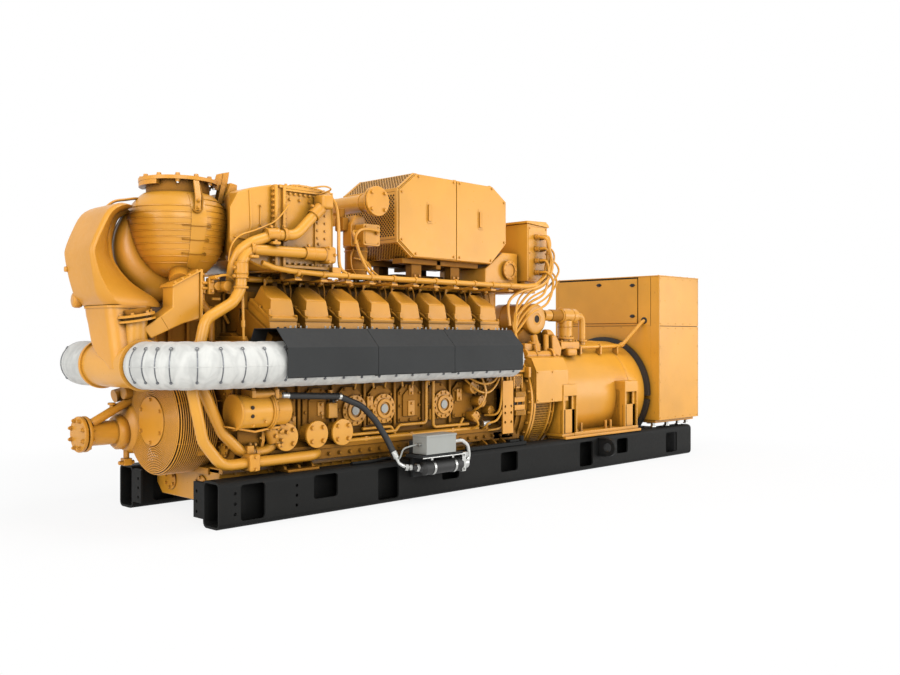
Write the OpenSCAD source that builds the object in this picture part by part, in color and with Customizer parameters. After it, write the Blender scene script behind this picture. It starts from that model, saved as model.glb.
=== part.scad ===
// Gas generator set: a sixteen-cylinder vee engine and an alternator on a two-rail steel skid.
// Millimetres, +Z up. The damper end of the engine points to -X, the alternator end to +X.
// The set rests on the undersides of its rails, at z = 0, and is centred over the origin.
// Lengths along the set are first laid out from the front end of the rails and then shifted once.

/* [Skid] */
// Length of the two rails
rail_len = 5600; // [5500:10:5700]
// Height of a rail
rail_h = 300; // [280:5:320]
// Width of a rail
rail_w = 190; // [170:5:200]
// Wall of the hollow rail section
rail_wall = 16; // [8:1:24]
// Width over both rails
base_w = 1310; // [1290:5:1330]

/* [Engine] */
// Height of the crankshaft above the floor
crank_z = 650; // [640:1:660]
// Number of cylinders in a bank
bank_cylinders = 8; // [4:1:8]
// Distance between neighbouring cylinders
cylinder_pitch = 297; // [290:1:300]
// Place of the rearmost cylinder along the rails
last_cylinder_x = 2686; // [2660:1:2710]

/* [Exhaust] */
// Outside radius of the wrapped manifold pipes
manifold_r = 150; // [120:1:152]
// Distance of the manifold pipes from the centre plane
manifold_y = 715; // [690:1:718]
// Height of the manifold pipes
manifold_z = 1030; // [1020:1:1035]
// Radius of the bend at the front of each manifold
manifold_bend = 330; // [300:5:350]
// Radius of the ribbed turbine housing
turbine_r = 338; // [330:1:345]
// Number of free bolt holes in the outlet flange
outlet_bolts = 12; // [8:1:16]
// Circle of the bolt holes in the outlet flange
outlet_pcd = 456; // [450:2:464]
// Radius of a bolt hole in the outlet flange
outlet_hole_r = 11; // [8:0.5:13]

/* [Damper guard] */
// Outside radius of the wire guard
guard_r = 355; // [330:5:365]
// Depth of the wire guard
guard_depth = 300; // [250:5:310]
// Number of wire rings on the face
face_rings = 11; // [6:1:12]
// Number of wire rings round the side
side_rings = 11; // [6:1:12]

/* [Alternator] */
// Radius of the alternator barrel
barrel_r = 515; // [500:1:520]
// Height of the terminal box top
box_top = 1800; // [1780:5:1810]
// Length of the terminal box along the set
box_len = 761; // [740:1:761]

/* [Hidden] */

$fn = 64;
front_x = -650;
rear_x = 5765;
shift_x = -(front_x + rear_x) / 2;
paint = "#E3A548";
paint_dark = "#C98E35";
black_paint = "#3A3A39";

// ---------- Helpers ----------

// Block between two corners.
module block(low, high) {
    translate(low) cube(high - low);
}

// Cylinders along each axis, given where they start and end.
module along_x(x0, x1, y, z, r) {
    translate([x0, y, z]) rotate([0, 90, 0]) cylinder(h = x1 - x0, r = r);
}

module along_y(y0, y1, x, z, r) {
    translate([x, y1, z]) rotate([90, 0, 0]) cylinder(h = y1 - y0, r = r);
}

module along_z(z0, z1, x, y, r) {
    translate([x, y, z0]) cylinder(h = z1 - z0, r = r);
}

// A profile of [y, z] points, drawn out along X.
module profile_x(x0, x1, points) {
    translate([x0, 0, 0]) rotate([90, 0, 90]) linear_extrude(x1 - x0) polygon(points);
}

// A profile of [x, z] points, drawn out along Y.
module profile_y(y0, y1, points) {
    translate([0, y1, 0]) rotate([90, 0, 0]) linear_extrude(y1 - y0) polygon(points);
}

// The other side of the set.
module other_side(flip) {
    mirror([0, flip ? 1 : 0, 0]) children();
}

// Both sides of the set.
module both_sides() {
    children();
    mirror([0, 1, 0]) children();
}

// Corner points of a rectangle with round corners, each corner in a few flat steps.
function round_rect(x0, x1, y0, y1, r, steps = 4) = [
    for (corner = [[x1 - r, y1 - r, 0], [x0 + r, y1 - r, 90], [x0 + r, y0 + r, 180], [x1 - r, y0 + r, 270]])
        for (i = [0:steps])
            let (a = corner[2] + 90 * i / steps)
                [corner[0] + r * cos(a), corner[1] + r * sin(a)]
];

function unit(v) = v / norm(v);

// Arc that replaces the corner b of the path a-b-c.
function bend_arc(a, b, c, r, steps) =
    let (d1 = unit(b - a), d2 = unit(c - b), turn = acos(min(1, d1 * d2)),
         side = unit(d2 - (d1 * d2) * d1), centre = b - d1 * r * tan(turn / 2) + side * r)
        [for (i = [0:steps]) let (t = turn * i / steps) centre - side * r * cos(t) + d1 * r * sin(t)];

// A path with its inner corners rounded.
function rounded_path(p, r, steps = 4) = [
    p[0],
    for (i = [1:1:len(p) - 2]) each bend_arc(p[i - 1], p[i], p[i + 1], r, steps),
    p[len(p) - 1]
];

function tangent(p, i) =
    i == 0 ? unit(p[1] - p[0]) :
    i == len(p) - 1 ? unit(p[i] - p[i - 1]) :
    unit(unit(p[i + 1] - p[i]) + unit(p[i] - p[i - 1]));

function square_to(v, t) = unit(v - (v * t) * t);

// Side directions carried along the path without twist.
function side_dirs(p) = [
    for (i = 0, n = square_to([0.31, 0.53, 0.79], tangent(p, 0));
         i < len(p);
         i = i + 1, n = i < len(p) ? square_to(n, tangent(p, i)) : n) n
];

// Round pipe swept along a path of points.
module tube(p, r, sides = 12) {
    n = side_dirs(p);
    rings = [
        for (i = [0:len(p) - 1])
            let (b = cross(tangent(p, i), n[i]))
                for (k = [0:sides - 1])
                    p[i] + r * (cos(360 * k / sides) * n[i] + sin(360 * k / sides) * b)
    ];
    last = (len(p) - 1) * sides;
    polyhedron(
        points = rings,
        faces = concat(
            [[for (k = [0:sides - 1]) k]],
            [for (i = [0:len(p) - 2]) for (k = [0:sides - 1])
                [i * sides + k, (i + 1) * sides + k, (i + 1) * sides + (k + 1) % sides,
                 i * sides + (k + 1) % sides]],
            [[for (k = [sides - 1:-1:0]) last + k]]
        ),
        convexity = 6
    );
}

// Pipe through the given corner points with bends of one radius.
module bent_pipe(points, r, bend, sides = 12) {
    tube(rounded_path(points, bend), r, sides);
}

// ---------- Skid ----------

rail_outer = base_w / 2;
rail_inner = rail_outer - rail_w;
plate_t = 14;

// Windows in the rail webs: start, width, bottom, height.
rail_windows = [
    [156, 184, 40, 230], [730, 206, 110, 160], [1303, 201, 30, 230], [1950, 190, 110, 150],
    [2629, 213, 100, 160], [3695, 196, 40, 220], [4270, 180, 110, 140], [5122, 207, 45, 200]
];
bolt_group_x = [115, 590];
bolt_group_z = [90, 155, 220];
small_hole_r = 11;

module skid_rail(flip) {
    color(black_paint)
    other_side(flip) {
        difference() {
            rotate([90, 0, 90]) linear_extrude(rail_len) difference() {
                polygon(round_rect(-rail_outer, -rail_inner, 0, rail_h, 38));
                polygon(round_rect(-rail_outer + rail_wall, -rail_inner - rail_wall,
                                   rail_wall, rail_h - rail_wall, 38 - rail_wall));
            }
            for (w = rail_windows)
                translate([0, -rail_inner + 10, 0]) rotate([90, 0, 0]) linear_extrude(rail_w + 20)
                    polygon(round_rect(w[0], w[0] + w[1], w[2], w[2] + w[3], 22, 3));
            for (x = bolt_group_x, z = bolt_group_z)
                along_y(-rail_outer - 5, -rail_outer + rail_wall + 5, x, z, small_hole_r);
        }
        // Bolting plate with three holes, welded beside the front end.
        difference() {
            block([0, -rail_inner, 50], [plate_t, -rail_inner + 116, 280]);
            for (z = bolt_group_z)
                along_x(-5, plate_t + 5, -rail_inner + 78, z, small_hole_r);
        }
    }
}

module skid_rail_left() {
    skid_rail(false);
}

module skid_rail_right() {
    skid_rail(true);
}

// Low beams pass under the oil pan; full-height beams stand behind it.
module cross_members() {
    color(black_paint) {
        for (x = [420, 1550, 2480])
            block([x, -rail_inner, 20], [x + 160, rail_inner, 90]);
        for (x = [3220, 4120, 5360])
            difference() {
                block([x, -rail_inner, 40], [x + 140, rail_inner, 260]);
                block([x + 14, -rail_inner - 5, 54], [x + 126, rail_inner + 5, 246]);
            }
    }
}

// Lifting lug: a plate across the rail with a round outer end and an eye.
lug_x = 3975;
lug_t = 40;
lug_r = 80;
lug_eye_r = 40;
lug_reach = 100;
lug_z = 200;

module lifting_lugs() {
    color(black_paint) both_sides()
        difference() {
            union() {
                block([lug_x, -rail_outer - lug_reach, lug_z - lug_r],
                      [lug_x + lug_t, -rail_outer, lug_z + lug_r]);
                along_x(lug_x, lug_x + lug_t, -rail_outer - lug_reach, lug_z, lug_r);
            }
            along_x(lug_x - 5, lug_x + lug_t + 5, -rail_outer - lug_reach, lug_z, lug_eye_r);
        }
}

// ---------- Engine block ----------

block_x0 = 420;
block_x1 = 2960;
block_half_w = 430;
pan_top = 350;
bank_angle = 30;
first_cylinder_x = last_cylinder_x - (bank_cylinders - 1) * cylinder_pitch;

module engine_feet() {
    color(paint_dark) both_sides()
        for (x = [560, 2560]) {
            block([x, -620, rail_h], [x + 260, -440, rail_h + 22]);
            for (rib = [0, 230])
                foot_rib(x + rib);
        }
}

module foot_rib(x) {
    profile_x(x, x + 30, [[-620, rail_h], [-430, rail_h], [-430, 520], [-470, 520], [-600, rail_h + 60]]);
}

module oil_pan() {
    color(paint)
        difference() {
            union() {
                profile_x(150, block_x1, [
                    [-330, 110], [330, 110], [400, 180], [420, pan_top], [-420, pan_top], [-400, 180]
                ]);
                block([150, -450, pan_top - 40], [block_x1, 450, pan_top]);
            }
            for (x = [700:600:2500])
                block([x, -480, pan_top - 60], [x + 8, -424, pan_top - 40]);
        }
}

module crankcase() {
    color(paint_dark) {
        profile_x(block_x0, block_x1, [
            [-500, pan_top], [500, pan_top], [500, 450], [block_half_w, 490], [block_half_w, 980],
            [455, 1035], [107, 1236], [-107, 1236], [-455, 1035], [-block_half_w, 980],
            [-block_half_w, 490], [-500, 450]
        ]);
    }
}

// Doors in the crankcase side, one a cylinder, and round covers in front of them.
module crankcase_covers() {
    color(paint) both_sides() {
        for (i = [0:bank_cylinders - 1])
            let (x = first_cylinder_x + i * cylinder_pitch)
                profile_y(-block_half_w - 24, -block_half_w, [
                    [x - 118, 560], [x + 118, 560], [x + 118, 800],
                    [x + 60, 862], [x - 60, 862], [x - 118, 800]
                ]);
        for (x = [572, 827, 1051]) {
            along_y(-545, -block_half_w, x, 535, 62);
            along_y(-570, -545, x, 535, 88);
        }
        for (x = [1290, 1570, 2165])
            along_y(-490, -block_half_w - 24, x, 680, 96);
    }
}

module gear_housing() {
    color(paint_dark) {
        profile_x(230, block_x0, [
            [-430, pan_top], [430, pan_top], [500, 520], [500, 900], [300, 1180], [-300, 1180],
            [-500, 900], [-500, 520]
        ]);
        along_x(0, 230, 0, crank_z, 300);
        along_x(-60, 0, 0, crank_z, 110);
    }
}

wire_r = 5;
guard_face_x = -100;
plate_r = 165;
guard_bars = 8;

// Wire ring about the crankshaft line.
module wire_ring(x, r) {
    translate([x, 0, crank_z]) rotate([0, 90, 0])
        rotate_extrude() translate([r, 0]) circle(r = wire_r, $fn = 6);
}

module damper_guard() {
    face_step = (guard_r - plate_r - 20) / face_rings;
    side_step = (guard_depth - 30) / side_rings;
    color("#B5813A") {
        along_x(guard_face_x - 12, guard_face_x + 4, 0, crank_z, plate_r);
        for (i = [1:face_rings])
            wire_ring(guard_face_x + 3 * max(0, i - face_rings + 2), plate_r + i * face_step);
        for (i = [0:side_rings - 1])
            wire_ring(guard_face_x + 22 + i * side_step, guard_r - wire_r);
        for (k = [0:guard_bars - 1])
            translate([0, 0, crank_z]) rotate([360 * (k + 0.5) / guard_bars, 0, 0]) {
                block([guard_face_x + 1.5, -3, plate_r - 40], [guard_face_x + 12, 3, guard_r - 3.5]);
                block([guard_face_x + 1.5, -3, guard_r - 15], [229, 3, guard_r - 3.5]);
            }
    }
}

// ---------- Cylinder heads ----------

// Head outline across the bank, square to the bank's own line.
function bank_point(along, across) = [
    -(along * sin(bank_angle) + across * cos(bank_angle)),
    crank_z + along * cos(bank_angle) - across * sin(bank_angle)
];

module cylinder_heads() {
    color(paint_dark) both_sides()
        for (i = [0:bank_cylinders - 1])
            let (x = first_cylinder_x + i * cylinder_pitch) {
                profile_x(x - 138, x + 138, [
                    bank_point(562, 200), bank_point(562, -200), bank_point(760, -200), bank_point(760, 200)
                ]);
                profile_x(x - 112, x + 112, [
                    [-500, 1180], [-160, 1376], [-140, 1440], [-250, 1450], [-476, 1316]
                ]);
            }
}

// Rocker cover: a box that narrows upwards, with a sloping top and a flange at its foot.
module valve_cover(x) {
    intersection() {
        profile_x(x - 130, x + 130, [[-466, 1316], [-452, 1468], [-290, 1562], [-228, 1462]]);
        profile_y(-500, -100, [[x - 106, 1300], [x + 106, 1300], [x + 68, 1575], [x - 68, 1575]]);
    }
    profile_x(x - 116, x + 116, [[-482, 1308], [-485, 1334], [-248, 1474], [-238, 1448]]);
}

module valve_covers(flip) {
    color(paint) other_side(flip)
        for (i = [0:bank_cylinders - 1])
            valve_cover(first_cylinder_x + i * cylinder_pitch);
}

module valve_covers_left() {
    valve_covers(false);
}

module valve_covers_right() {
    valve_covers(true);
}

module intake_manifold() {
    color(paint_dark) {
        profile_x(500, 3060, [
            [-90, 1240], [90, 1240], [130, 1300], [130, 1560], [80, 1630], [-80, 1630],
            [-130, 1560], [-130, 1300]
        ]);
    }
}

// ---------- Exhaust ----------

manifold_front_x = -30;
manifold_end_x = 2690;
collector_x = manifold_front_x - manifold_bend;
collector_far_y = 180;

// Wrapped pipe of one bank: straight beside the heads, then a bend towards the middle.
// The far one runs on across the front until it meets the collector.
module exhaust_manifold(flip) {
    bend_end = manifold_y - manifold_bend;
    color("#E9E9E6") other_side(flip) {
        along_x(manifold_front_x, manifold_end_x, -manifold_y, manifold_z, manifold_r);
        translate([manifold_front_x, -bend_end, manifold_z]) rotate([0, 0, 180])
            rotate_extrude(angle = 90) translate([manifold_bend, 0]) circle(r = manifold_r);
        if (flip)
            along_y(-bend_end, -collector_far_y, collector_x, manifold_z, manifold_r);
        for (i = [0:bank_cylinders - 1])
            let (x = first_cylinder_x + i * cylinder_pitch)
                along_y(-manifold_y + 60, -430, x, manifold_z + 20, 48);
    }
}

module exhaust_manifold_left() {
    exhaust_manifold(false);
}

module exhaust_manifold_right() {
    exhaust_manifold(true);
}

// Bent sheet over the manifold: outer skirt, sloping top and a short inner lip.
shield_x0 = 355;
shield_x1 = 2645;
shield_t = 8;

module heat_shield(flip) {
    color(black_paint) other_side(flip) {
        profile_x(shield_x0, shield_x1, [
            [-880, 943], [-880, 1138], [-755, 1262], [-500, 1262], [-445, 1150],
            [-453, 1150], [-505, 1262 - shield_t], [-752, 1262 - shield_t],
            [-880 + shield_t, 1134], [-880 + shield_t, 943]
        ]);
    }
}

module heat_shield_left() {
    heat_shield(false);
}

module heat_shield_right() {
    heat_shield(true);
}

// Cross pipe that gathers both banks, with a collar where each wrapped pipe ends.
module exhaust_y_piece() {
    near_y = -(manifold_y - manifold_bend);
    color(paint) {
        along_y(near_y, collector_far_y, collector_x, manifold_z, manifold_r - 4);
        along_y(near_y, near_y + 24, collector_x, manifold_z, manifold_r + 10);
        along_y(collector_far_y - 24, collector_far_y, collector_x, manifold_z, manifold_r + 10);
    }
}

// Lower half of the riser: a duct that leans over from the cross pipe to a joint band.
duct_corner = 95;
duct_top = 1385;

module riser_duct() {
    hull() {
        translate([0, 0, 1010]) linear_extrude(2)
            polygon(round_rect(-510, -212, -350, -125, duct_corner));
        translate([0, 0, duct_top - 2]) linear_extrude(2)
            polygon(round_rect(-515, -215, -260, 145, duct_corner));
    }
    translate([0, 0, duct_top]) linear_extrude(16) polygon(round_rect(-527, -203, -272, 157, duct_corner));
}

// Sections of its upper half: [outer x, outer z, inner x, inner z, near y, far y], from the joint
// band out to the ridge and over the top into the turbine.
riser_sections = [
    [-512, 1396, -215, 1396, -252, 140], [-548, 1430, -222, 1415, -255, 145],
    [-576, 1470, -235, 1450, -255, 148], [-611, 1596, -240, 1510, -255, 150],
    [-639, 1701, -250, 1580, -255, 152], [-632, 1750, -245, 1600, -255, 160],
    [-555, 1872, -225, 1640, -253, 172], [-506, 1981, -190, 1665, -250, 140],
    [-410, 2030, -150, 1675, -240, 135], [-170, 2070, -100, 1670, -225, 130]
];
near_cut = 22;
far_cut = 60;

module riser_slice(s) {
    w = norm([s[2] - s[0], s[3] - s[1]]);
    translate([s[0], 0, s[1]]) rotate([0, atan2(s[1] - s[3], s[2] - s[0]), 0]) linear_extrude(2)
        polygon([
            [0, s[4] + near_cut], [near_cut, s[4]], [w, s[4]], [w, s[5]], [far_cut, s[5]],
            [0, s[5] - far_cut]
        ]);
}

module exhaust_riser() {
    color(paint) {
        riser_duct();
        for (i = [0:len(riser_sections) - 2])
            hull() {
                riser_slice(riser_sections[i]);
                riser_slice(riser_sections[i + 1]);
            }
        along_x(-596, -530, 140, 1440, 52);
    }
}

// Scroll of the turbine: a horn that swells round its hub, [angle, radius of the horn].
scroll_hub = [-150, -240, 1745];
scroll_r = 330;
scroll_horn = [
    [150, 22], [165, 36], [182, 52], [200, 64], [220, 76], [240, 90], [260, 101], [280, 107],
    [300, 110], [322, 110]
];

module scroll_ball(s) {
    translate(scroll_hub + (scroll_r - s[1]) * [cos(s[0]), 0, sin(s[0])]) sphere(r = s[1], $fn = 16);
}

module turbo_volute() {
    color(paint) {
        for (i = [0:len(scroll_horn) - 2])
            hull() {
                scroll_ball(scroll_horn[i]);
                scroll_ball(scroll_horn[i + 1]);
            }
        along_y(-215, 140, scroll_hub[0], scroll_hub[2], 262);
    }
}

turbine_x = 88;
turbine_top = 2190;
outlet_r = 200;

// Turned outline of the casing: [radius, height].
casing = [
    [60, 1600], [115, 1616], [160, 1656], [turbine_r - 136, 1750], [turbine_r - 69, 1810],
    [turbine_r - 36, 1860], [turbine_r - 15, 1900], [turbine_r, 1960], [turbine_r - 17, 2060],
    [turbine_r - 47, 2100], [turbine_r - 83, 2148], [turbine_r - 110, turbine_top]
];
rib_levels = [for (i = [0:9]) 1688 + 40.5 * i];
rib_t = 5;
rib_out = 7;

// Radius of the casing at a height, in straight steps like its turned outline.
function casing_radius(z) = lookup(z, [for (c = casing) [c[1], c[0]]]);

// Ribbed casing round the turbine outlet, turned about the outlet's upright line.
module turbine_housing() {
    color(paint)
        translate([turbine_x, 0, 0])
            difference() {
                rotate_extrude() {
                    polygon(concat([[0, 1600]], casing, [[0, turbine_top]]));
                    for (z = rib_levels)
                        translate([casing_radius(z) - 40, z]) square([40 + rib_out, rib_t]);
                }
                translate([0, 0, 1990]) cylinder(h = 300, r = outlet_r);
            }
}

flange_r = 256;

// Outlet flange: one thick plate on a short neck.
module exhaust_flange() {
    color(paint)
        translate([turbine_x, 0, turbine_top])
            difference() {
                union() {
                    cylinder(h = 40, r = outlet_r + 16);
                    translate([0, 0, 38]) cylinder(h = 30, r = flange_r);
                }
                translate([0, 0, -5]) cylinder(h = 90, r = outlet_r);
                for (k = [0:outlet_bolts - 1])
                    rotate([0, 0, 360 * (k + 0.5) / outlet_bolts])
                        translate([outlet_pcd / 2, 0, 30]) cylinder(h = 45, r = outlet_hole_r);
            }
}

// Branch pipe that rises from the cross pipe to a bolted joint, and the flat duct that runs on
// from it to the turbine.
branch = [-364, -300];

module bypass_duct() {
    color(paint) {
        along_z(1130, 1328, branch[0], branch[1], 67);
        along_z(1322, 1333, branch[0], branch[1], 110);
        along_z(1333, 1337, branch[0], branch[1], 80);
        along_z(1337, 1348, branch[0], branch[1], 110);
        along_z(1348, 1392, branch[0], branch[1], 70);
        profile_y(-362, -225, [
            [-151, 1529], [38, 1628], [40, 1330], [-73, 1270], [-280, 1193], [-339, 1259], [-151, 1396]
        ]);
        block([38, -374, 1316], [60, -213, 1640]);
    }
}

// ---------- Aftercooler ----------

cooler_half_w = 430;

module aftercooler_transition() {
    color(paint)
        hull() {
            profile_y(-cooler_half_w + 20, cooler_half_w - 20, [
                [293, 2165], [386, 2202], [481, 2226], [560, 2244], [560, 1660], [481, 1672], [347, 1731]
            ]);
            block([205, -340, 1825], [215, 340, 2055]);
        }
}

module aftercooler() {
    color(paint) {
        for (x = [560, 600])
            block([x, -cooler_half_w - 22, 1650], [x + 28, cooler_half_w + 22, 2240]);
        block([588, -cooler_half_w, 1670], [600, cooler_half_w, 2222]);
        block([628, -cooler_half_w, 1700], [1045, cooler_half_w, 2215]);
        block([628, -cooler_half_w - 18, 1650], [1060, cooler_half_w + 18, 1700]);
        block([628, -cooler_half_w - 12, 2215], [1055, cooler_half_w + 12, 2240]);
        along_z(2240, 2290, 900, -200, 70);
        for (x = [680, 980])
            block([x, -150, 1236], [x + 50, 150, 1650]);
    }
}

// ---------- Coolant ----------

pipe_r = 37;

// Upper and lower pipes from the aftercooler, and the two that come out below the wrapped manifold.
upper_pipe = [[1000, 2215], [953, 2163], [699, 1902], [511, 1887], [326, 1821], [204, 1773], [235, 1640]];
lower_pipe = [
    [1006, 1781], [874, 1783], [331, 1782], [253, 1712], [242, 1568], [202, 1450], [-21, 1299], [-36, 1150]
];
outer_pipe = [[-60, 1180], [-125, 871], [-51, 550], [84, 381], [810, 387]];
inner_pipe = [[-36, 1180], [-36, 865], [116, 591], [257, 457], [349, 443], [531, 548]];

// Path of one pipe: [x, z] points at a steady distance from the centre plane.
function at_y(points, y) = [for (q = points) [q[0], y, q[1]]];

module coolant_pipes() {
    color(paint) {
        bent_pipe(concat([[1000, -420, 2215]], at_y(upper_pipe, -495), [[235, -495, 1560]]), pipe_r, 90);
        bent_pipe(concat([[1010, -400, 1781]], at_y(lower_pipe, -500), [[-36, -500, 1080]]), pipe_r, 80);
        bent_pipe(concat(at_y(outer_pipe, -550), [[860, -480, 400]]), pipe_r, 110);
        bent_pipe(concat(at_y(inner_pipe, -500), [[560, -440, 600]]), pipe_r, 80);
    }
}

module water_pump() {
    color(paint) {
        along_x(-450, -422, 350, 560, 120);
        along_x(-422, -416, 350, 560, 90);
        along_x(-416, -388, 350, 560, 120);
        along_x(-388, -150, 350, 560, 82);
        along_x(-150, 60, 360, 600, 185);
        along_x(60, 230, 360, 640, 120);
        bent_pipe([[-250, 340, 620], [-180, 330, 800], [-40, 260, 900], [240, 240, 900]], 55, 80);
    }
}

// Drum with a bolted end, a clamp ring and a square top where the heater hose leaves.
module regulator_housing() {
    color(paint) {
        along_x(159, 400, -560, 722, 112);
        along_x(400, 425, -560, 722, 122);
        along_x(425, 561, -560, 722, 100);
        block([260, -610, 800], [470, -500, 850]);
        block([180, -570, 560], [210, -425, 640]);
        along_y(-500, -430, 300, 722, 80);
        along_z(560, 640, 470, -540, 62);
    }
}

module heater_hose() {
    color("#1E1E1E")
        tube(rounded_path([
            [470, -600, 820], [989, -600, 792], [1188, -612, 714], [1291, -640, 607],
            [1368, -680, 465], [1411, -720, 345], [1470, -770, 290], [1560, -780, 290]
        ], 90, 5), 23, 10);
}

module jacket_heater() {
    color("#8C8C8A") block([1680, -850, 345], [1920, -680, 460]);
    color("#1C1C1C") {
        along_x(1640, 1960, -780, 290, 52);
        block([1700, -790, 335], [1900, -740, 346]);
    }
    color(black_paint) block([1720, -700, 220], [1880, -655, 360]);
    color("#D8D8D4") {
        along_x(1960, 2030, -780, 290, 58);
        along_x(1560, 1640, -780, 300, 26);
    }
}

// ---------- Air cleaner ----------

cleaner_half_d = 400;
cleaner_outline = [
    [1780, 2025], [1905, 1865], [2810, 1865], [3040, 2070], [3040, 2360], [2900, 2505],
    [1950, 2505], [1780, 2335]
];

module air_cleaner_housing() {
    color(paint)
        difference() {
            profile_y(-cleaner_half_d + 12, cleaner_half_d - 12, cleaner_outline);
            // Shallow fields where the perforated sheets sit.
            block([1770, -cleaner_half_d + 70, 2050], [1786, cleaner_half_d - 70, 2310]);
        }
}

module air_cleaner_doors() {
    c = cleaner_outline;
    seam = 2410;
    color(paint) both_sides() {
        profile_y(-cleaner_half_d, -cleaner_half_d + 12, [
            c[0], c[1], [seam - 3, 1865], [seam - 3, 2505], c[6], c[7]
        ]);
        profile_y(-cleaner_half_d, -cleaner_half_d + 12, [
            [seam + 3, 1865], c[2], c[3], c[4], c[5], [seam + 3, 2505]
        ]);
        for (x = [2120, 2690])
            for (z = [2130, 2250])
                along_y(-cleaner_half_d - 45, -cleaner_half_d, x, z, 9);
        for (x = [2120, 2690])
            along_z(2121, 2259, x, -cleaner_half_d - 40, 9);
    }
}

// Cross plate on bent-sheet legs that stand on the intake manifold's rails.
module air_cleaner_stand() {
    color(paint_dark) {
        block([1860, -330, 1832], [2790, 330, 1865]);
        both_sides()
            for (x = [1900, 2060, 2450]) {
                block([x, -260, 1628], [x + 130, -130, 1655]);
                block([x, -250, 1640], [x + 130, -232, 1835]);
                block([x, -250, 1640], [x + 16, -130, 1835]);
            }
        block([1860, -150, 1618], [2600, 150, 1655]);
    }
}

// Blank flange, its pipe and the mixer column that stands on the engine.
module gas_inlet() {
    color(paint) {
        along_y(-450, -428, 1483, 2219, 110);
        along_y(-426, -404, 1483, 2219, 104);
        along_y(-428, 0, 1483, 2219, 66);
        along_z(1630, 2219, 1530, -110, 80);
        block([1428, -350, 1890], [1587, -180, 2060]);
        along_z(1870, 2080, 1400, -230, 76);
    }
}

// Engine control box with a sloping lid.
module control_box() {
    color(paint) {
        block([3270, -400, 1700], [3547, 240, 2205]);
        profile_y(-415, 255, [[3262, 2198], [3547, 2198], [3570, 2240], [3570, 2250], [3262, 2213]]);
        for (z = [2140, 2030, 1920, 1810])
            for (x = [3400, 3470])
                along_y(-430, -400, x, z, 26);
    }
}

module inlet_duct() {
    color(paint_dark) {
        profile_y(-330, 330, [
            [2960, 1640], [3540, 1640], [3540, 1700], [3270, 1700], [3270, 1930], [3200, 1930], [2920, 1800]
        ]);
        block([2960, -200, 1236], [3100, 200, 1640]);
    }
    color(paint)
        difference() {
            along_x(3160, 3235, -210, 1800, 100);
            along_x(3150, 3185, -210, 1800, 70);
        }
}

module wiring_conduit() {
    color(paint) {
        bent_pipe([
            [443, -470, 1703], [645, -480, 1660], [988, -485, 1642], [2308, -485, 1639], [3000, -485, 1642],
            [3330, -480, 1660], [3470, -470, 1850], [3480, -450, 2140], [3470, -400, 2140]
        ], 22, 80, 8);
    }
}

// Crankcase breather: a drum across the engine, a filter canister and the pipes between them.
module breather() {
    color(paint) {
        along_y(-330, 120, 3462, 1368, 140);
        along_y(-350, -330, 3462, 1368, 118);
        block([3380, -120, 1236], [3540, 60, 1300]);
        along_x(3668, 3846, -300, 1405, 62);
        along_z(1340, 1470, 3950, -300, 122);
        along_z(1130, 1340, 3937, -300, 60);
        bent_pipe([[4040, -300, 1405], [4290, -300, 1405], [4290, -300, 1300]], 45, 80);
        block([4240, -340, 1150], [4340, -220, 1310]);
        along_x(3162, 3560, -450, 1042, 42);
        along_z(1042, 1180, 3690, -400, 42);
        block([3560, -470, 1000], [3960, -240, 1135]);
    }
}

// ---------- Alternator ----------

module flywheel_housing() {
    color(paint_dark) {
        along_x(block_x1, 3120, 0, crank_z, 560);
        along_x(3120, 3160, 0, crank_z, 600);
        both_sides() block([2830, -520, 330], [2850, -430, 860]);
    }
}

module alternator_adapter() {
    color(paint) {
        along_x(3160, 3560, 0, crank_z, 540);
        both_sides() {
            profile_x(3144, 3560, [[-610, 620], [-610, 940], [-540, 1060], [-420, 1060], [-420, 620]]);
        }
    }
}

module alternator() {
    color(paint) {
        along_x(3560, 3600, 0, crank_z, 560);
        along_x(3600, 4940, 0, crank_z, barrel_r);
        along_x(4560, 4590, 0, crank_z, barrel_r + 14);
        both_sides() {
            for (x = [3510, 4440])
                difference() {
                    block([x, -620, rail_h + 22], [x + 200, -360, 780]);
                    block([x + 24, -640, rail_h + 60], [x + 176, -600, 660]);
                }
            block([3500, -650, rail_h], [4650, -440, rail_h + 22]);
        }
    }
}

module seal_ring() {
    color("#2B2B2A")
        translate([4940, 0, crank_z]) rotate([0, 90, 0])
            difference() {
                cylinder(h = 64, r = 556);
                translate([0, 0, -5]) cylinder(h = 74, r = 480);
            }
}

box_x0 = rear_x - box_len;

module terminal_box() {
    color(paint) {
        block([box_x0, -655, 377], [rear_x, 655, box_top]);
        block([box_x0 - 14, -660, box_top], [rear_x, 660, box_top + 16]);
    }
    color("#8C8C8A") for (x = [5060, 5660], y = [-560, 500])
        block([x, y, rail_h], [x + 60, y + 60, 377]);
}

module terminal_box_cover() {
    color(paint) block([box_x0 - 12, -391, 1344], [box_x0, 648, 1790]);
}

// ---------- Assembly ----------

module placed() {
    translate([shift_x, 0, 0]) children();
}

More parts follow.
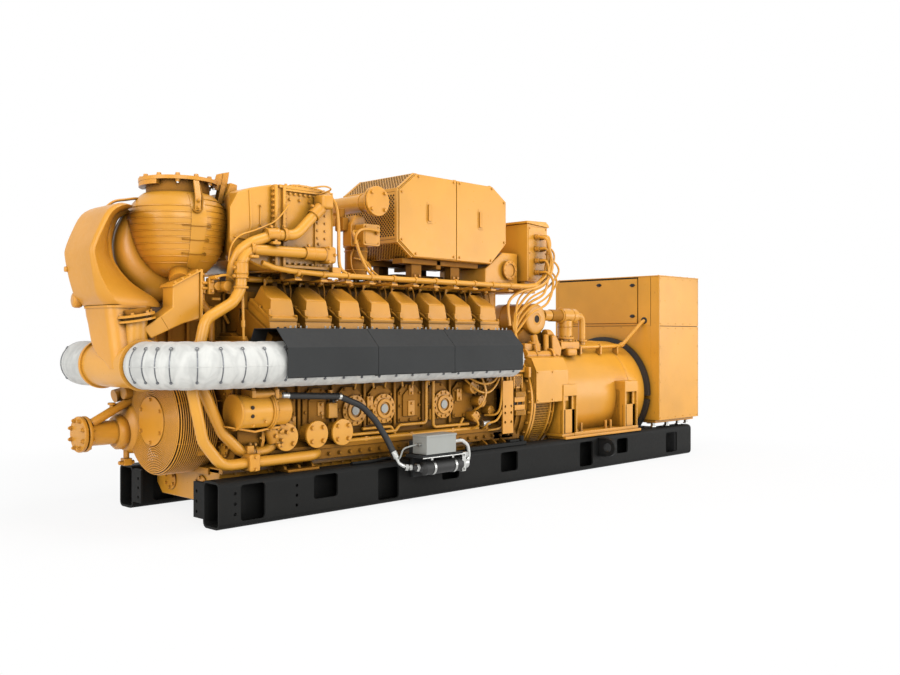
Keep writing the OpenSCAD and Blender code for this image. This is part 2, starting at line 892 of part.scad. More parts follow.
placed() skid_rail_left();
placed() skid_rail_right();
placed() cross_members();
placed() lifting_lugs();
placed() engine_feet();
placed() oil_pan();
placed() crankcase();
placed() crankcase_covers();
placed() gear_housing();
placed() damper_guard();
placed() cylinder_heads();
placed() valve_covers_left();
placed() valve_covers_right();
placed() intake_manifold();
placed() exhaust_manifold_left();
placed() exhaust_manifold_right();
placed() heat_shield_left();
placed() heat_shield_right();
placed() exhaust_y_piece();
placed() exhaust_riser();
placed() turbo_volute();
placed() turbine_housing();
placed() exhaust_flange();
placed() bypass_duct();
placed() aftercooler_transition();
placed() aftercooler();
placed() coolant_pipes();
placed() water_pump();
placed() regulator_housing();
placed() heater_hose();
placed() jacket_heater();
placed() air_cleaner_housing();
placed() air_cleaner_doors();
placed() air_cleaner_stand();
placed() gas_inlet();
placed() control_box();
placed() inlet_duct();
placed() wiring_conduit();
placed() breather();
placed() flywheel_housing();
placed() alternator_adapter();
placed() alternator();
placed() seal_ring();
placed() terminal_box();
placed() terminal_box_cover();
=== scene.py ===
"""Gas generator set on a two-rail skid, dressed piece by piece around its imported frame.

Sizes are in metres. Every sub-assembly is laid out from the front end of the rails, with +X
towards the alternator, -Y towards the near side and +Z up, and is moved once into the frame when
a piece is finished.
"""

import logging
import math
from collections.abc import Iterable, Sequence
from dataclasses import dataclass
from enum import Enum
from typing import ClassVar

import bmesh
import bpy
from mathutils import Matrix, Vector


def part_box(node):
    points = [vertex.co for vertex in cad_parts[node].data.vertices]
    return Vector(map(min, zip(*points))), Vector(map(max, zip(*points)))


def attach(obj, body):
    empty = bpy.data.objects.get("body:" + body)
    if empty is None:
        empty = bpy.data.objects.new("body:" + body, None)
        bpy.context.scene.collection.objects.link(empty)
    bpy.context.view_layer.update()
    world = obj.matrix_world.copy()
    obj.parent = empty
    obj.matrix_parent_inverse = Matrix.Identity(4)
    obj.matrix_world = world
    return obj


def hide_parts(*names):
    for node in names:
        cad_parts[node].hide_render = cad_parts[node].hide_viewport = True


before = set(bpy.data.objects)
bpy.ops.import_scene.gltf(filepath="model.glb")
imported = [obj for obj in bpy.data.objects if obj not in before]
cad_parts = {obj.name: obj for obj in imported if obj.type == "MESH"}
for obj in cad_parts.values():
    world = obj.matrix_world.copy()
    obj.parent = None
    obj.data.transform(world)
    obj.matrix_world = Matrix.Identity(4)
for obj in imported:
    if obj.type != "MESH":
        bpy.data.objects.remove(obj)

LOG = logging.getLogger("generator_set")
SHIFT = Vector((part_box("skid_rail_left")[0].x, 0.0, 0.0))
Point = Sequence[float]
Flat = Sequence[tuple[float, float]]


class Axis(Enum):
    """Direction that a shape is drawn out or turned along."""

    X = (1.0, 0.0, 0.0)
    Y = (0.0, 1.0, 0.0)
    Z = (0.0, 0.0, 1.0)

    def place(self, along: float, first: float, second: float) -> Vector:
        """Point at a distance along the axis.

        Args:
            along: Distance along the axis.
            first, second: The two other coordinates, in X, Y, Z order.

        Returns:
            The point.
        """
        if self is Axis.X:
            return Vector((along, first, second))
        if self is Axis.Y:
            return Vector((first, along, second))
        return Vector((first, second, along))


def rounded(points: Sequence[Point], bend: float, step: float = 0.3) -> list[Vector]:
    """Path through the points whose inner corners are bent to a radius.

    Args:
        points: Corner points of the path.
        bend: Radius of each bend.
        step: Turn between two points of a bend, in radians.

    Returns:
        The points of the bent path.
    """
    spots = [Vector(p) for p in points]
    path = [spots[0]]
    for before, corner, after in zip(spots, spots[1:], spots[2:]):
        into, out = corner - before, after - corner
        turn = into.angle(out)
        if turn < 0.03:
            path.append(corner)
            continue
        reach = min(bend * math.tan(turn / 2), into.length * 0.49, out.length * 0.49)
        into.normalize()
        axis = into.cross(out).normalized()
        start = corner - into * reach
        centre = start + axis.cross(into) * (reach / math.tan(turn / 2))
        count = max(2, math.ceil(turn / step))
        for k in range(count + 1):
            path.append(centre + Matrix.Rotation(turn * k / count, 3, axis) @ (start - centre))
    path.append(spots[-1])
    return path


def flowing(points: Sequence[Point], steps: int = 5) -> list[Vector]:
    """Smooth path through the points, as a loose wire takes.

    Args:
        points: Points that the wire passes.
        steps: Points made for each span.

    Returns:
        The points of the smooth path.
    """
    spots = [Vector(p) for p in points]
    spots = [spots[0] * 2 - spots[1], *spots, spots[-1] * 2 - spots[-2]]
    path = []
    for a, b, c, d in zip(spots, spots[1:], spots[2:], spots[3:]):
        for k in range(steps):
            t = k / steps
            path.append((2 * b + (c - a) * t + (2 * a - 5 * b + 4 * c - d) * t * t
                + (3 * b - a - 3 * c + d) * t ** 3) / 2)
    path.append(spots[-2])
    return path


def round_box(x0: float, x1: float, y0: float, y1: float, corner: float,
        steps: int = 4) -> list[tuple[float, float]]:
    """Outline of a rectangle with round corners.

    Args:
        x0, x1, y0, y1: Sides of the rectangle.
        corner: Corner radius.
        steps: Flat steps in each corner.

    Returns:
        Points of the outline, anticlockwise.
    """
    outline = []
    for cx, cy, start in ((x1 - corner, y1 - corner, 0), (x0 + corner, y1 - corner, 90),
            (x0 + corner, y0 + corner, 180), (x1 - corner, y0 + corner, 270)):
        for k in range(steps + 1):
            angle = math.radians(start + 90 * k / steps)
            outline.append((cx + corner * math.cos(angle), cy + corner * math.sin(angle)))
    return outline


def aim(direction: Point) -> Matrix:
    """Turn that takes +Z to a direction."""
    return Vector(direction).to_track_quat("Z", "Y").to_matrix().to_4x4()


def hex_head() -> bpy.types.Mesh:
    """Bolt head of unit width on its washer, seated on z = 0 and facing +Z.

    Returns:
        The mesh of one head.
    """
    part = bmesh.new()
    bmesh.ops.create_cone(part, cap_ends=True, segments=10, radius1=0.66, radius2=0.62, depth=0.16,
        matrix=Matrix.Translation((0, 0, 0.06)))
    bmesh.ops.create_cone(part, cap_ends=True, segments=6, radius1=0.52, radius2=0.47, depth=0.46,
        matrix=Matrix.Translation((0, 0, 0.36)))
    mesh = bpy.data.meshes.new("hex_head")
    part.to_mesh(mesh)
    part.free()
    return mesh


HEX_HEAD = hex_head()


class Shape:
    """Mesh of one piece while it is made, laid out from the front end of the rails."""

    def __init__(self, *finishes: bpy.types.Material) -> None:
        """Starts an empty mesh; the finishes are numbered in the order given."""
        self.mesh = bmesh.new()
        self.finishes = finishes
        self.finish = 0

    def use(self, number: int) -> "Shape":
        """Gives the parts made next the finish of that number."""
        self.finish = number
        return self

    def keep(self, part: bmesh.types.BMesh, outward: bool = True) -> None:
        """Adds a part to the piece in the present finish.

        Args:
            part: The part, which is freed.
            outward: Whether its faces are first turned outwards.
        """
        if outward:
            bmesh.ops.recalc_face_normals(part, faces=part.faces[:])
        for face in part.faces:
            face.material_index = self.finish
        scratch = bpy.data.meshes.new("scratch")
        part.to_mesh(scratch)
        part.free()
        self.mesh.from_mesh(scratch)
        bpy.data.meshes.remove(scratch)

    def soften(self, part: bmesh.types.BMesh, edge: float, segments: int = 2) -> None:
        """Rounds every edge of a part by a small width.

        Args:
            part: Part being made.
            edge: Width of the rounding; 0 leaves the edges sharp.
            segments: Flat steps across it.
        """
        if edge:
            bmesh.ops.bevel(part, geom=part.edges[:], offset=edge, affect="EDGES",
                segments=segments, profile=0.5, material=-1, clamp_overlap=True)

    def block(self, low: Point, high: Point, edge: float = 0.004,
            turn: Matrix | None = None) -> None:
        """Block between two corners, with softened edges.

        Args:
            low, high: Opposite corners.
            edge: Width of the softened edges.
            turn: Turn about the block's centre.
        """
        part = bmesh.new()
        a, b = Vector(low), Vector(high)
        size = Matrix.Diagonal((*[abs(v) for v in b - a], 1.0))
        bmesh.ops.create_cube(part, size=1.0, matrix=Matrix.Translation((a + b) / 2)
            @ (turn or Matrix()) @ size)
        self.soften(part, edge)
        self.keep(part)

    def prism(self, outline: Flat, axis: Axis, start: float, end: float,
            edge: float = 0.004) -> None:
        """Flat outline drawn out along an axis.

        Args:
            outline: Points in the plane across the axis, in X, Y, Z order.
            axis: Direction that it is drawn out along.
            start, end: Where it starts and ends.
            edge: Width of the softened edges.
        """
        part = bmesh.new()
        face = part.faces.new([part.verts.new(axis.place(start, *p)) for p in outline])
        grown = bmesh.ops.extrude_face_region(part, geom=[face])["geom"]
        bmesh.ops.translate(part, vec=Vector(axis.value) * (end - start),
            verts=[g for g in grown if isinstance(g, bmesh.types.BMVert)])
        bmesh.ops.recalc_face_normals(part, faces=part.faces[:])
        self.soften(part, edge)
        self.keep(part)

    def turned(self, profile: Flat, origin: Point, direction: Point, sides: int = 40,
            closed: bool = False) -> None:
        """Profile spun about an axis.

        Args:
            profile: Points as (distance along the axis, radius).
            origin: Where the axis starts.
            direction: Direction of the axis.
            sides: Steps round the axis.
            closed: Whether the profile is a closed loop, as on a ring.
        """
        part = bmesh.new()
        spots = [part.verts.new((radius, 0, along)) for along, radius in profile]
        for a, b in zip(spots, spots[1:] + spots[:1] if closed else spots[1:]):
            part.edges.new((a, b))
        bmesh.ops.spin(part, geom=part.verts[:] + part.edges[:], cent=(0, 0, 0), axis=(0, 0, 1),
            angle=math.tau, steps=sides, use_merge=True, use_duplicate=False)
        bmesh.ops.remove_doubles(part, verts=part.verts[:], dist=1e-5)
        bmesh.ops.transform(part, matrix=Matrix.Translation(origin) @ aim(direction),
            verts=part.verts[:])
        self.keep(part)

    def drum(self, start: Point, end: Point, radius: float, edge: float = 0.004, sides: int = 32,
            far_radius: float | None = None) -> None:
        """Round bar or disc between two points, with softened rims.

        Args:
            start, end: Centres of its ends.
            radius: Radius at the start.
            edge: Width of the softened rims.
            sides: Steps round it.
            far_radius: Radius at the end, where it differs.
        """
        run = Vector(end) - Vector(start)
        far = radius if far_radius is None else far_radius
        edge = min(edge, radius * 0.4, far * 0.4, run.length * 0.4)
        self.turned([(0, 0), (0, radius - edge), (edge * 0.3, radius - edge * 0.3), (edge, radius),
            (run.length - edge, far), (run.length - edge * 0.3, far - edge * 0.3),
            (run.length, far - edge), (run.length, 0)], start, run, sides)

    def washer(self, start: Point, direction: Point, inner: float, outer: float, thick: float,
            sides: int = 40, edge: float = 0.003) -> None:
        """Flat ring with a hole.

        Args:
            start: Centre of its back face.
            direction: Way that it faces.
            inner, outer: Radii of the hole and the rim.
            thick: Thickness.
            sides: Steps round it.
            edge: Width of the softened rim.
        """
        self.turned([(0, inner), (0, outer), (thick - edge, outer), (thick, outer - edge),
            (thick, inner)], start, direction, sides, closed=True)

    def hoop(self, centre: Point, direction: Point, radius: float, thick: float, sides: int = 48,
            section: int = 8) -> None:
        """Round wire bent into a ring.

        Args:
            centre: Centre of the ring.
            direction: Axis of the ring.
            radius: Radius to the middle of the wire.
            thick: Radius of the wire.
            sides: Steps round the ring.
            section: Steps round the wire.
        """
        profile = [(thick * math.sin(math.tau * k / section),
            radius + thick * math.cos(math.tau * k / section)) for k in range(section)]
        self.turned(profile, centre, direction, sides, closed=True)

    def tube(self, path: Sequence[Point], radius: float | Sequence[float], sides: int = 16) -> None:
        """Round pipe along a path, closed at both ends.

        Args:
            path: Points of the centre line.
            radius: Radius, or one radius for each point.
            sides: Steps round the pipe.
        """
        spots = [Vector(p) for p in path]
        spots = [spots[0]] + [b for a, b in zip(spots, spots[1:]) if (b - a).length > 1e-6]
        radii = [radius] * len(spots) if isinstance(radius, float) else list(radius)
        runs = [(b - a).normalized() for a, b in zip(spots, spots[1:])]
        heads = [runs[0]] + [(a + b).normalized() for a, b in zip(runs, runs[1:])] + [runs[-1]]
        part = bmesh.new()
        bmesh.ops.create_circle(part, cap_ends=False, segments=sides, radius=radii[0],
            matrix=Matrix.Translation(spots[0]) @ aim(heads[0]))
        rim = part.edges[:]
        for k in range(1, len(spots)):
            grown = bmesh.ops.extrude_edge_only(part, edges=rim)["geom"]
            corners = [g for g in grown if isinstance(g, bmesh.types.BMVert)]
            rim = [g for g in grown if isinstance(g, bmesh.types.BMEdge) and g.is_boundary]
            swing = heads[k - 1].rotation_difference(heads[k]).to_matrix().to_4x4()
            size = Matrix.Scale(radii[k] / radii[k - 1], 4)
            move = (Matrix.Translation(spots[k]) @ swing @ size @ Matrix.Translation(-spots[k - 1]))
            bmesh.ops.transform(part, matrix=move, verts=corners)
        bmesh.ops.holes_fill(part, edges=[e for e in part.edges if e.is_boundary], sides=0)
        self.keep(part)

    def pipe(self, points: Sequence[Point], radius: float, bend: float = 0.08,
            sides: int = 16) -> None:
        """Pipe through corner points with bends of one radius."""
        self.tube(rounded(points, bend), radius, sides)

    def wire(self, points: Sequence[Point], radius: float = 0.006, sides: int = 6,
            steps: int = 5) -> None:
        """Loose wire or small line through the points."""
        self.tube(flowing(points, steps), radius, sides)

    def loft(self, rings: Sequence[Sequence[Point]], smooth: int = 0) -> None:
        """Closed skin drawn over rings that all have the same number of points.

        Args:
            rings: Points of each ring, from one end to the other.
            smooth: Times that the skin is subdivided and rounded.
        """
        part = bmesh.new()
        loops = []
        for ring in rings:
            spots = [part.verts.new(p) for p in ring]
            loops.append([part.edges.new(pair) for pair in zip(spots, spots[1:] + spots[:1])])
        for a, b in zip(loops, loops[1:]):
            bmesh.ops.bridge_loops(part, edges=a + b)
        bmesh.ops.holes_fill(part, edges=[e for e in part.edges if e.is_boundary], sides=0)
        for _ in range(smooth):
            bmesh.ops.subdivide_edges(part, edges=part.edges[:], cuts=1, use_grid_fill=True,
                smooth=1.0)
        self.keep(part)

    def bolts(self, spots: Iterable[Point], facing: Point, width: float = 0.03) -> None:
        """Bolt heads at the given spots.

        Args:
            spots: Where each head sits.
            facing: Way that the heads face.
            width: Width of a head.
        """
        for face in HEX_HEAD.polygons:
            face.material_index = self.finish
        turn = aim(facing) @ Matrix.Scale(width, 4)
        for spot in spots:
            move = Matrix.Translation(spot) @ turn
            HEX_HEAD.transform(move)
            self.mesh.from_mesh(HEX_HEAD)
            HEX_HEAD.transform(move.inverted())

    def bolt_ring(self, centre: Point, facing: Point, radius: float, count: int,
            width: float = 0.03, start: float = 0.0) -> None:
        """Bolt heads round a circle.

        Args:
            centre: Centre of the circle.
            facing: Way that the heads face.
            radius: Radius of the circle.
            count: Number of bolts.
            width: Width of a head.
            start: Turn of the first bolt, in degrees.
        """
        turn = aim(facing)
        self.bolts([Vector(centre) + turn.to_3x3() @ Vector((radius * math.cos(a),
            radius * math.sin(a), 0)) for a in (math.radians(start) + math.tau * k / count
            for k in range(count))], facing, width)

    def bolt_row(self, first: Point, last: Point, count: int, facing: Point,
            width: float = 0.022) -> None:
        """Evenly spaced bolt heads on a straight line."""
        self.bolts([Vector(first).lerp(Vector(last), k / (count - 1)) for k in range(count)],
            facing, width)

    def capped_flange(self, centre: Point, facing: Point, radius: float, thick: float, count: int,
            width: float = 0.028) -> None:
        """Round bolted cover: a disc with a softened rim and a ring of bolts.

        Args:
            centre: Centre of its back face.
            facing: Way that it faces.
            radius: Radius of the disc.
            thick: Thickness of the disc.
            count: Number of bolts.
            width: Width of a bolt head.
        """
        out = Vector(facing).normalized()
        self.drum(centre, Vector(centre) + out * thick, radius, 0.006, 40)
        self.bolt_ring(Vector(centre) + out * thick, facing, radius * 0.76, count, width,
            180 / count)

    def perforated(self, corner: Point, across: Point, up: Point, pitch: float = 0.021,
            wall: float = 0.004, web: float = 0.0042) -> None:
        """Sheet with staggered holes.

        Args:
            corner: One corner of the sheet.
            across, up: Its two sides.
            pitch: Distance between neighbouring holes.
            wall: Thickness of the sheet.
            web: Half the width of the metal left between two holes.
        """
        base, u, v = Vector(corner), Vector(across), Vector(up)
        wide, high = u.length, v.length
        part = bmesh.new()
        reach = (wide + high) * 0.72
        cells = int(2 * reach / pitch)
        bmesh.ops.create_grid(part, x_segments=cells, y_segments=cells, size=reach,
            matrix=Matrix.Translation((wide / 2, high / 2, 0)) @ Matrix.Rotation(math.pi / 4, 4,
            "Z"))
        full = part.faces[:][0].calc_area()
        for spot, out in (((0, 0, 0), (-1, 0, 0)), ((wide, 0, 0), (1, 0, 0)),
                ((0, 0, 0), (0, -1, 0)), ((0, high, 0), (0, 1, 0))):
            bmesh.ops.bisect_plane(part, geom=part.verts[:] + part.edges[:] + part.faces[:],
                plane_co=spot, plane_no=out, clear_outer=True)
        bmesh.ops.remove_doubles(part, verts=part.verts[:], dist=pitch * 0.03)
        bmesh.ops.dissolve_degenerate(part, dist=pitch * 0.03, edges=part.edges[:])
        cells_left = [f for f in part.faces if len(f.verts) == 4 and f.calc_area() > full * 0.98]
        bmesh.ops.inset_individual(part, faces=cells_left, thickness=web)
        bmesh.ops.delete(part, geom=cells_left, context="FACES")
        x, y = u.normalized(), v.normalized()
        z = x.cross(y)
        turn = Matrix((x, y, z)).transposed().to_4x4()
        bmesh.ops.transform(part, matrix=Matrix.Translation(base) @ turn, verts=part.verts[:])
        bmesh.ops.recalc_face_normals(part, faces=part.faces[:])
        bmesh.ops.solidify(part, geom=part.faces[:], thickness=wall)
        self.keep(part, outward=False)

    def both_sides(self) -> "Shape":
        """Adds the mirror image of everything made so far, across the centre plane.

        Returns:
            The piece itself.
        """
        twin = self.mesh.copy()
        bmesh.ops.scale(twin, vec=(1, -1, 1), verts=twin.verts[:])
        bmesh.ops.reverse_faces(twin, faces=twin.faces[:])
        scratch = bpy.data.meshes.new("scratch")
        twin.to_mesh(scratch)
        twin.free()
        self.mesh.from_mesh(scratch)
        bpy.data.meshes.remove(scratch)
        return self

    def finished(self, name: str, slot: str = "engine_paint", nodes: Sequence[str] = (),
            sharp: float = 38.0) -> bpy.types.Object:
        """Moves the mesh into the frame and makes it a piece that rides on the set.

        Args:
            name: Name of the piece.
            slot: Material slot of the record; not used.
            nodes: CAD nodes that it stands for.
            sharp: Angle in degrees above which an edge shades as an edge.

        Returns:
            The finished piece.
        """
        bmesh.ops.translate(self.mesh, vec=SHIFT, verts=self.mesh.verts[:])
        data = bpy.data.meshes.new(name)
        self.mesh.to_mesh(data)
        self.mesh.free()
        data.polygons.foreach_set("use_smooth", [True] * len(data.polygons))
        data.set_sharp_from_angle(angle=math.radians(sharp))
        for finish in self.finishes:
            data.materials.append(finish)
        piece = bpy.data.objects.new(name, data)
        bpy.context.scene.collection.objects.link(piece)
        even = piece.modifiers.new("even_shading", "WEIGHTED_NORMAL")
        even.keep_sharp = True
        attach(piece, "root")
        if nodes:
            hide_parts(*nodes)
        LOG.info("%s: %d faces", name, len(data.polygons))
        return piece


def srgb(code: str) -> tuple[float, float, float, float]:
    """Linear colour of an sRGB hex value such as #E2A03C."""
    parts = [int(code[k:k + 2], 16) / 255 for k in (1, 3, 5)]
    return (*[p / 12.92 if p <= 0.04045 else ((p + 0.055) / 1.055) ** 2.4 for p in parts], 1.0)


def per_metre(millimetres: float) -> float:
    """Scale of a pattern whose spots are that far apart."""
    return 1000.0 / millimetres


def add(tree: bpy.types.NodeTree, kind: str, links: dict | None = None,
        **settings: object) -> bpy.types.Node:
    """Adds a node.

    Args:
        tree: Node tree that it goes into.
        kind: Blender's name of the node.
        links: Input names or numbers, each with a socket to link or a value to set.
        settings: Properties of the node.

    Returns:
        The new node.
    """
    node = tree.nodes.new(kind)
    for name, value in settings.items():
        setattr(node, name, value)
    for name, source in (links or {}).items():
        if isinstance(source, bpy.types.NodeSocket):
            tree.links.new(source, node.inputs[name])
        else:
            node.inputs[name].default_value = source
    return node


def blank_material(name: str) -> tuple[bpy.types.Material, bpy.types.NodeTree,
        bpy.types.NodeSocket]:
    """Starts a material whose tree holds only the coordinates of the piece.

    Args:
        name: Name of the material.

    Returns:
        The material, its node tree and the socket of Object coordinates.
    """
    material = bpy.data.materials.new(name)
    material.use_nodes = True
    material.node_tree.nodes.clear()
    place = add(material.node_tree, "ShaderNodeTexCoord").outputs["Object"]
    return material, material.node_tree, place


@dataclass(frozen=True)
class Paint:
    """Sprayed paint on steel or iron.

    The coat flows into a soft orange peel, is a little uneven in gloss and carries specks of dust.
    It also carries painted shade: a brown tone laid in by occlusion, in corners and behind other
    parts.
    """

    name: str
    colour: str
    # The brown that thin patches, specks of dust and the painted shade in corners lean towards.
    dark_tone: str
    roughness: float
    peel_mm: float
    peel_depth: float
    # Share of the painted shade where a face is most occluded; reach is how far the occlusion
    # looks.
    shade_share: float = 0.75
    reach: float = 0.22
    shine: float = 0.5

    def material(self) -> bpy.types.Material:
        """Makes the paint's material.

        Returns:
            The material.
        """
        material, tree, place = blank_material(self.name)
        # Patches about 400 mm wide where the coat is a shade thinner.
        cloud = add(tree, "ShaderNodeTexNoise", {"Vector": place, "Scale": per_metre(400),
            "Detail": 3.0})
        # Specks of dust, drawn at 30 mm so that they show.
        specks = add(tree, "ShaderNodeTexNoise", {"Vector": place, "Scale": per_metre(30),
            "Detail": 5.0, "Roughness": 0.7})
        thin_coat = add(tree, "ShaderNodeMapRange", {"Value": cloud.outputs["Fac"], "From Min": 0.35,
            "From Max": 0.7, "To Min": 0.0, "To Max": 0.16})
        coat = add(tree, "ShaderNodeMix", {0: thin_coat.outputs[0], 6: srgb(self.colour),
            7: srgb(self.dark_tone)}, data_type="RGBA")
        # Painted shade: occlusion darkens corners and faces behind other parts towards the brown;
        # specks of dust show only there.
        corner = add(tree, "ShaderNodeAmbientOcclusion", {"Distance": self.reach}, samples=6)
        painted_shade = add(tree, "ShaderNodeMapRange", {"Value": corner.outputs["AO"], "From Min": 0.15,
            "From Max": 0.8, "To Min": self.shade_share, "To Max": 0.0})
        dust_in_shade = add(tree, "ShaderNodeMath", {0: painted_shade.outputs[0], 1: specks.outputs["Fac"]},
            operation="MULTIPLY")
        shade_mask = add(tree, "ShaderNodeMath", {0: dust_in_shade.outputs[0], 1: painted_shade.outputs[0]},
            operation="ADD", use_clamp=True)
        colour = add(tree, "ShaderNodeMix", {0: shade_mask.outputs[0], 6: coat.outputs[2],
            7: srgb(self.dark_tone)}, data_type="RGBA")
        gloss = add(tree, "ShaderNodeMapRange", {"Value": specks.outputs["Fac"], "From Min": 0.3,
            "From Max": 0.7, "To Min": self.roughness - 0.05, "To Max": self.roughness + 0.09})
        peel = add(tree, "ShaderNodeTexNoise", {"Vector": place, "Scale": per_metre(self.peel_mm),
            "Detail": 2.0})
        relief = add(tree, "ShaderNodeBump", {"Height": peel.outputs["Fac"], "Strength": 0.35,
            "Distance": self.peel_depth})
        skin = add(tree, "ShaderNodeBsdfPrincipled", {"Base Color": colour.outputs[2],
            "Roughness": gloss.outputs[0], "Normal": relief.outputs[0],
            "Specular IOR Level": self.shine})
        add(tree, "ShaderNodeOutputMaterial", {"Surface": skin.outputs[0]})
        return material


@dataclass(frozen=True)
class BareMetal:
    """Plated or bare steel: bright, with fine rubbing marks and slightly dull patches."""

    name: str
    colour: str
    dull: str
    roughness: float

    def material(self) -> bpy.types.Material:
        """Makes the metal's material.

        Returns:
            The material.
        """
        material, tree, place = blank_material(self.name)
        rub = add(tree, "ShaderNodeTexNoise", {"Vector": place, "Scale": per_metre(12),
            "Detail": 4.0})
        tone = add(tree, "ShaderNodeMix", {0: rub.outputs["Fac"], 6: srgb(self.colour),
            7: srgb(self.dull)}, data_type="RGBA")
        gloss = add(tree, "ShaderNodeMapRange", {"Value": rub.outputs["Fac"], "From Min": 0.3,
            "From Max": 0.7, "To Min": self.roughness - 0.06, "To Max": self.roughness + 0.1})
        skin = add(tree, "ShaderNodeBsdfPrincipled", {"Base Color": tone.outputs[2],
            "Metallic": 1.0, "Roughness": gloss.outputs[0]})
        add(tree, "ShaderNodeOutputMaterial", {"Surface": skin.outputs[0]})
        return material


@dataclass(frozen=True)
class Blanket:
    """Silver-faced glass cloth, laced round hot pipes: pale, soft-edged and creased."""

    name: str
    colour: str
    crease_shade: str

    def material(self) -> bpy.types.Material:
        """Makes the cloth's material.

        Returns:
            The material.
        """
        material, tree, place = blank_material(self.name)
        # Threads lie 1 mm apart; they are drawn 6 mm apart so that the weave shows.
        threads = [add(tree, "ShaderNodeTexWave", {"Vector": place, "Scale": per_metre(6) / 20,
            "Distortion": 1.2, "Detail": 1.0}, bands_direction=way) for way in ("X", "Z")]
        weave = add(tree, "ShaderNodeMath", {0: threads[0].outputs["Fac"],
            1: threads[1].outputs["Fac"]}, operation="MULTIPLY")
        # Creases run round the pipe every 60 to 90 mm, drawn out by the pull of the lacing.
        pull = add(tree, "ShaderNodeMapping", {"Vector": place, "Scale": (1.0, 1.0, 0.35)})
        creases = add(tree, "ShaderNodeTexNoise", {"Vector": pull.outputs[0],
            "Scale": per_metre(75), "Detail": 4.0, "Distortion": 0.8})
        # Painted shade: the cloth darkens towards the crease colour along the creases, and by
        # occlusion next to other parts.
        tone = add(tree, "ShaderNodeMapRange", {"Value": creases.outputs["Fac"], "From Min": 0.38,
            "From Max": 0.62, "To Min": 0.5, "To Max": 0.0})
        corner = add(tree, "ShaderNodeAmbientOcclusion", {"Distance": 0.06}, samples=6)
        dark = add(tree, "ShaderNodeMapRange", {"Value": corner.outputs["AO"], "From Min": 0.2,
            "From Max": 0.9, "To Min": 1.0, "To Max": 0.0})
        shade = add(tree, "ShaderNodeMath", {0: tone.outputs[0], 1: dark.outputs[0]},
            operation="ADD", use_clamp=True)
        colour = add(tree, "ShaderNodeMix", {0: shade.outputs[0], 6: srgb(self.colour),
            7: srgb(self.crease_shade)}, data_type="RGBA")
        fold = add(tree, "ShaderNodeBump", {"Height": creases.outputs["Fac"], "Strength": 0.55,
            "Distance": 0.012})
        cloth = add(tree, "ShaderNodeBump", {"Height": weave.outputs[0], "Strength": 0.25,
            "Distance": 0.0015, "Normal": fold.outputs[0]})
        skin = add(tree, "ShaderNodeBsdfPrincipled", {"Base Color": colour.outputs[2],
            "Metallic": 0.1, "Roughness": 0.55, "Normal": cloth.outputs[0], "Sheen Weight": 0.15,
            "Sheen Roughness": 0.5})
        add(tree, "ShaderNodeOutputMaterial", {"Surface": skin.outputs[0]})
        return material


@dataclass(frozen=True)
class Rubber:
    """Moulded black rubber: dull, faintly grey where it has been rubbed."""

    name: str
    colour: str
    rubbed: str

    def material(self) -> bpy.types.Material:
        """Makes the rubber's material.

        Returns:
            The material.
        """
        material, tree, place = blank_material(self.name)
        grain = add(tree, "ShaderNodeTexNoise", {"Vector": place, "Scale": per_metre(8),
            "Detail": 5.0})
        tone = add(tree, "ShaderNodeMix", {0: grain.outputs["Fac"], 6: srgb(self.colour),
            7: srgb(self.rubbed)}, data_type="RGBA")
        relief = add(tree, "ShaderNodeBump", {"Height": grain.outputs["Fac"], "Strength": 0.2,
            "Distance": 0.001})
        skin = add(tree, "ShaderNodeBsdfPrincipled", {"Base Color": tone.outputs[2],
            "Roughness": 0.55, "Normal": relief.outputs[0]})
        add(tree, "ShaderNodeOutputMaterial", {"Surface": skin.outputs[0]})
        return material


# Glossy alkyd enamel over rough iron castings: warm golden yellow, with a brown painted shade in
# corners and behind other parts.
CASTING = Paint("golden_enamel_on_iron", "#D8952A", "#553A10", 0.36, 14, 0.0012, 0.75,
    0.2).material()
# The same enamel over rolled sheet and tube, which is flatter and glossier.
SHEET = Paint("golden_enamel_on_sheet", "#DD9C31", "#62430F", 0.31, 40, 0.0006, 0.6,
    0.15).material()
# The block and what lies between the parts: the same paint made darker, a copy that paints the
# shade these parts sit in.
SHADE_ENAMEL = Paint("golden_enamel_in_shade", "#A9711E", "#4C3410", 0.5, 16, 0.0016, 0.8, 0.24,
    0.15).material()
# Satin powder coat on the skid: near black, flat and even.
SKID = Paint("charcoal_powder_coat", "#222221", "#0E0E0D", 0.5, 10, 0.0005, 0.6, 0.2,
    0.08).material()
# Heat-proof stove enamel on the manifold shields: matt black that greys at a low angle.
STOVE = Paint("black_stove_enamel", "#353636", "#1C1C1C", 0.5, 8, 0.0005, 0.5, 0.2, 0.1).material()
# Painted shade: dark brown put inside tubes, cabinets and perforated housings, and in holes and
# gaps where only shade falls.
SHADE_BROWN = Paint("unlit_inside", "#2A1B08", "#120C04", 0.7, 12, 0.0005).material()
# Polyester powder coat on the heater's terminal box: pale neutral grey.
GREY = Paint("grey_powder_coat", "#9A9C97", "#5E5B52", 0.4, 9, 0.0004, 0.5).material()
# Bright zinc plating on hose fittings, clamps and cover centres.
ZINC = BareMetal("zinc_plated_steel", "#D6D6D2", "#9C9C98", 0.3).material()
# Cast aluminium plugs in the round side covers: flat silver grey, not bright.
PLUG = Paint("cast_aluminium_plug", "#AFAFA8", "#6A675E", 0.45, 9, 0.0006, 0.5).material()
# Stainless wire that laces the blankets.
LACING = BareMetal("lacing_wire", "#8D8F92", "#5A5C60", 0.35).material()
# Silver-faced glass cloth over the exhaust pipes.
CLOTH = Blanket("silver_glass_cloth", "#CCCCC7", "#9FA09D").material()
# Rubber of the hose, the heater body and the seal round the alternator.
RUBBER = Rubber("black_rubber", "#121212", "#2A2927").material()


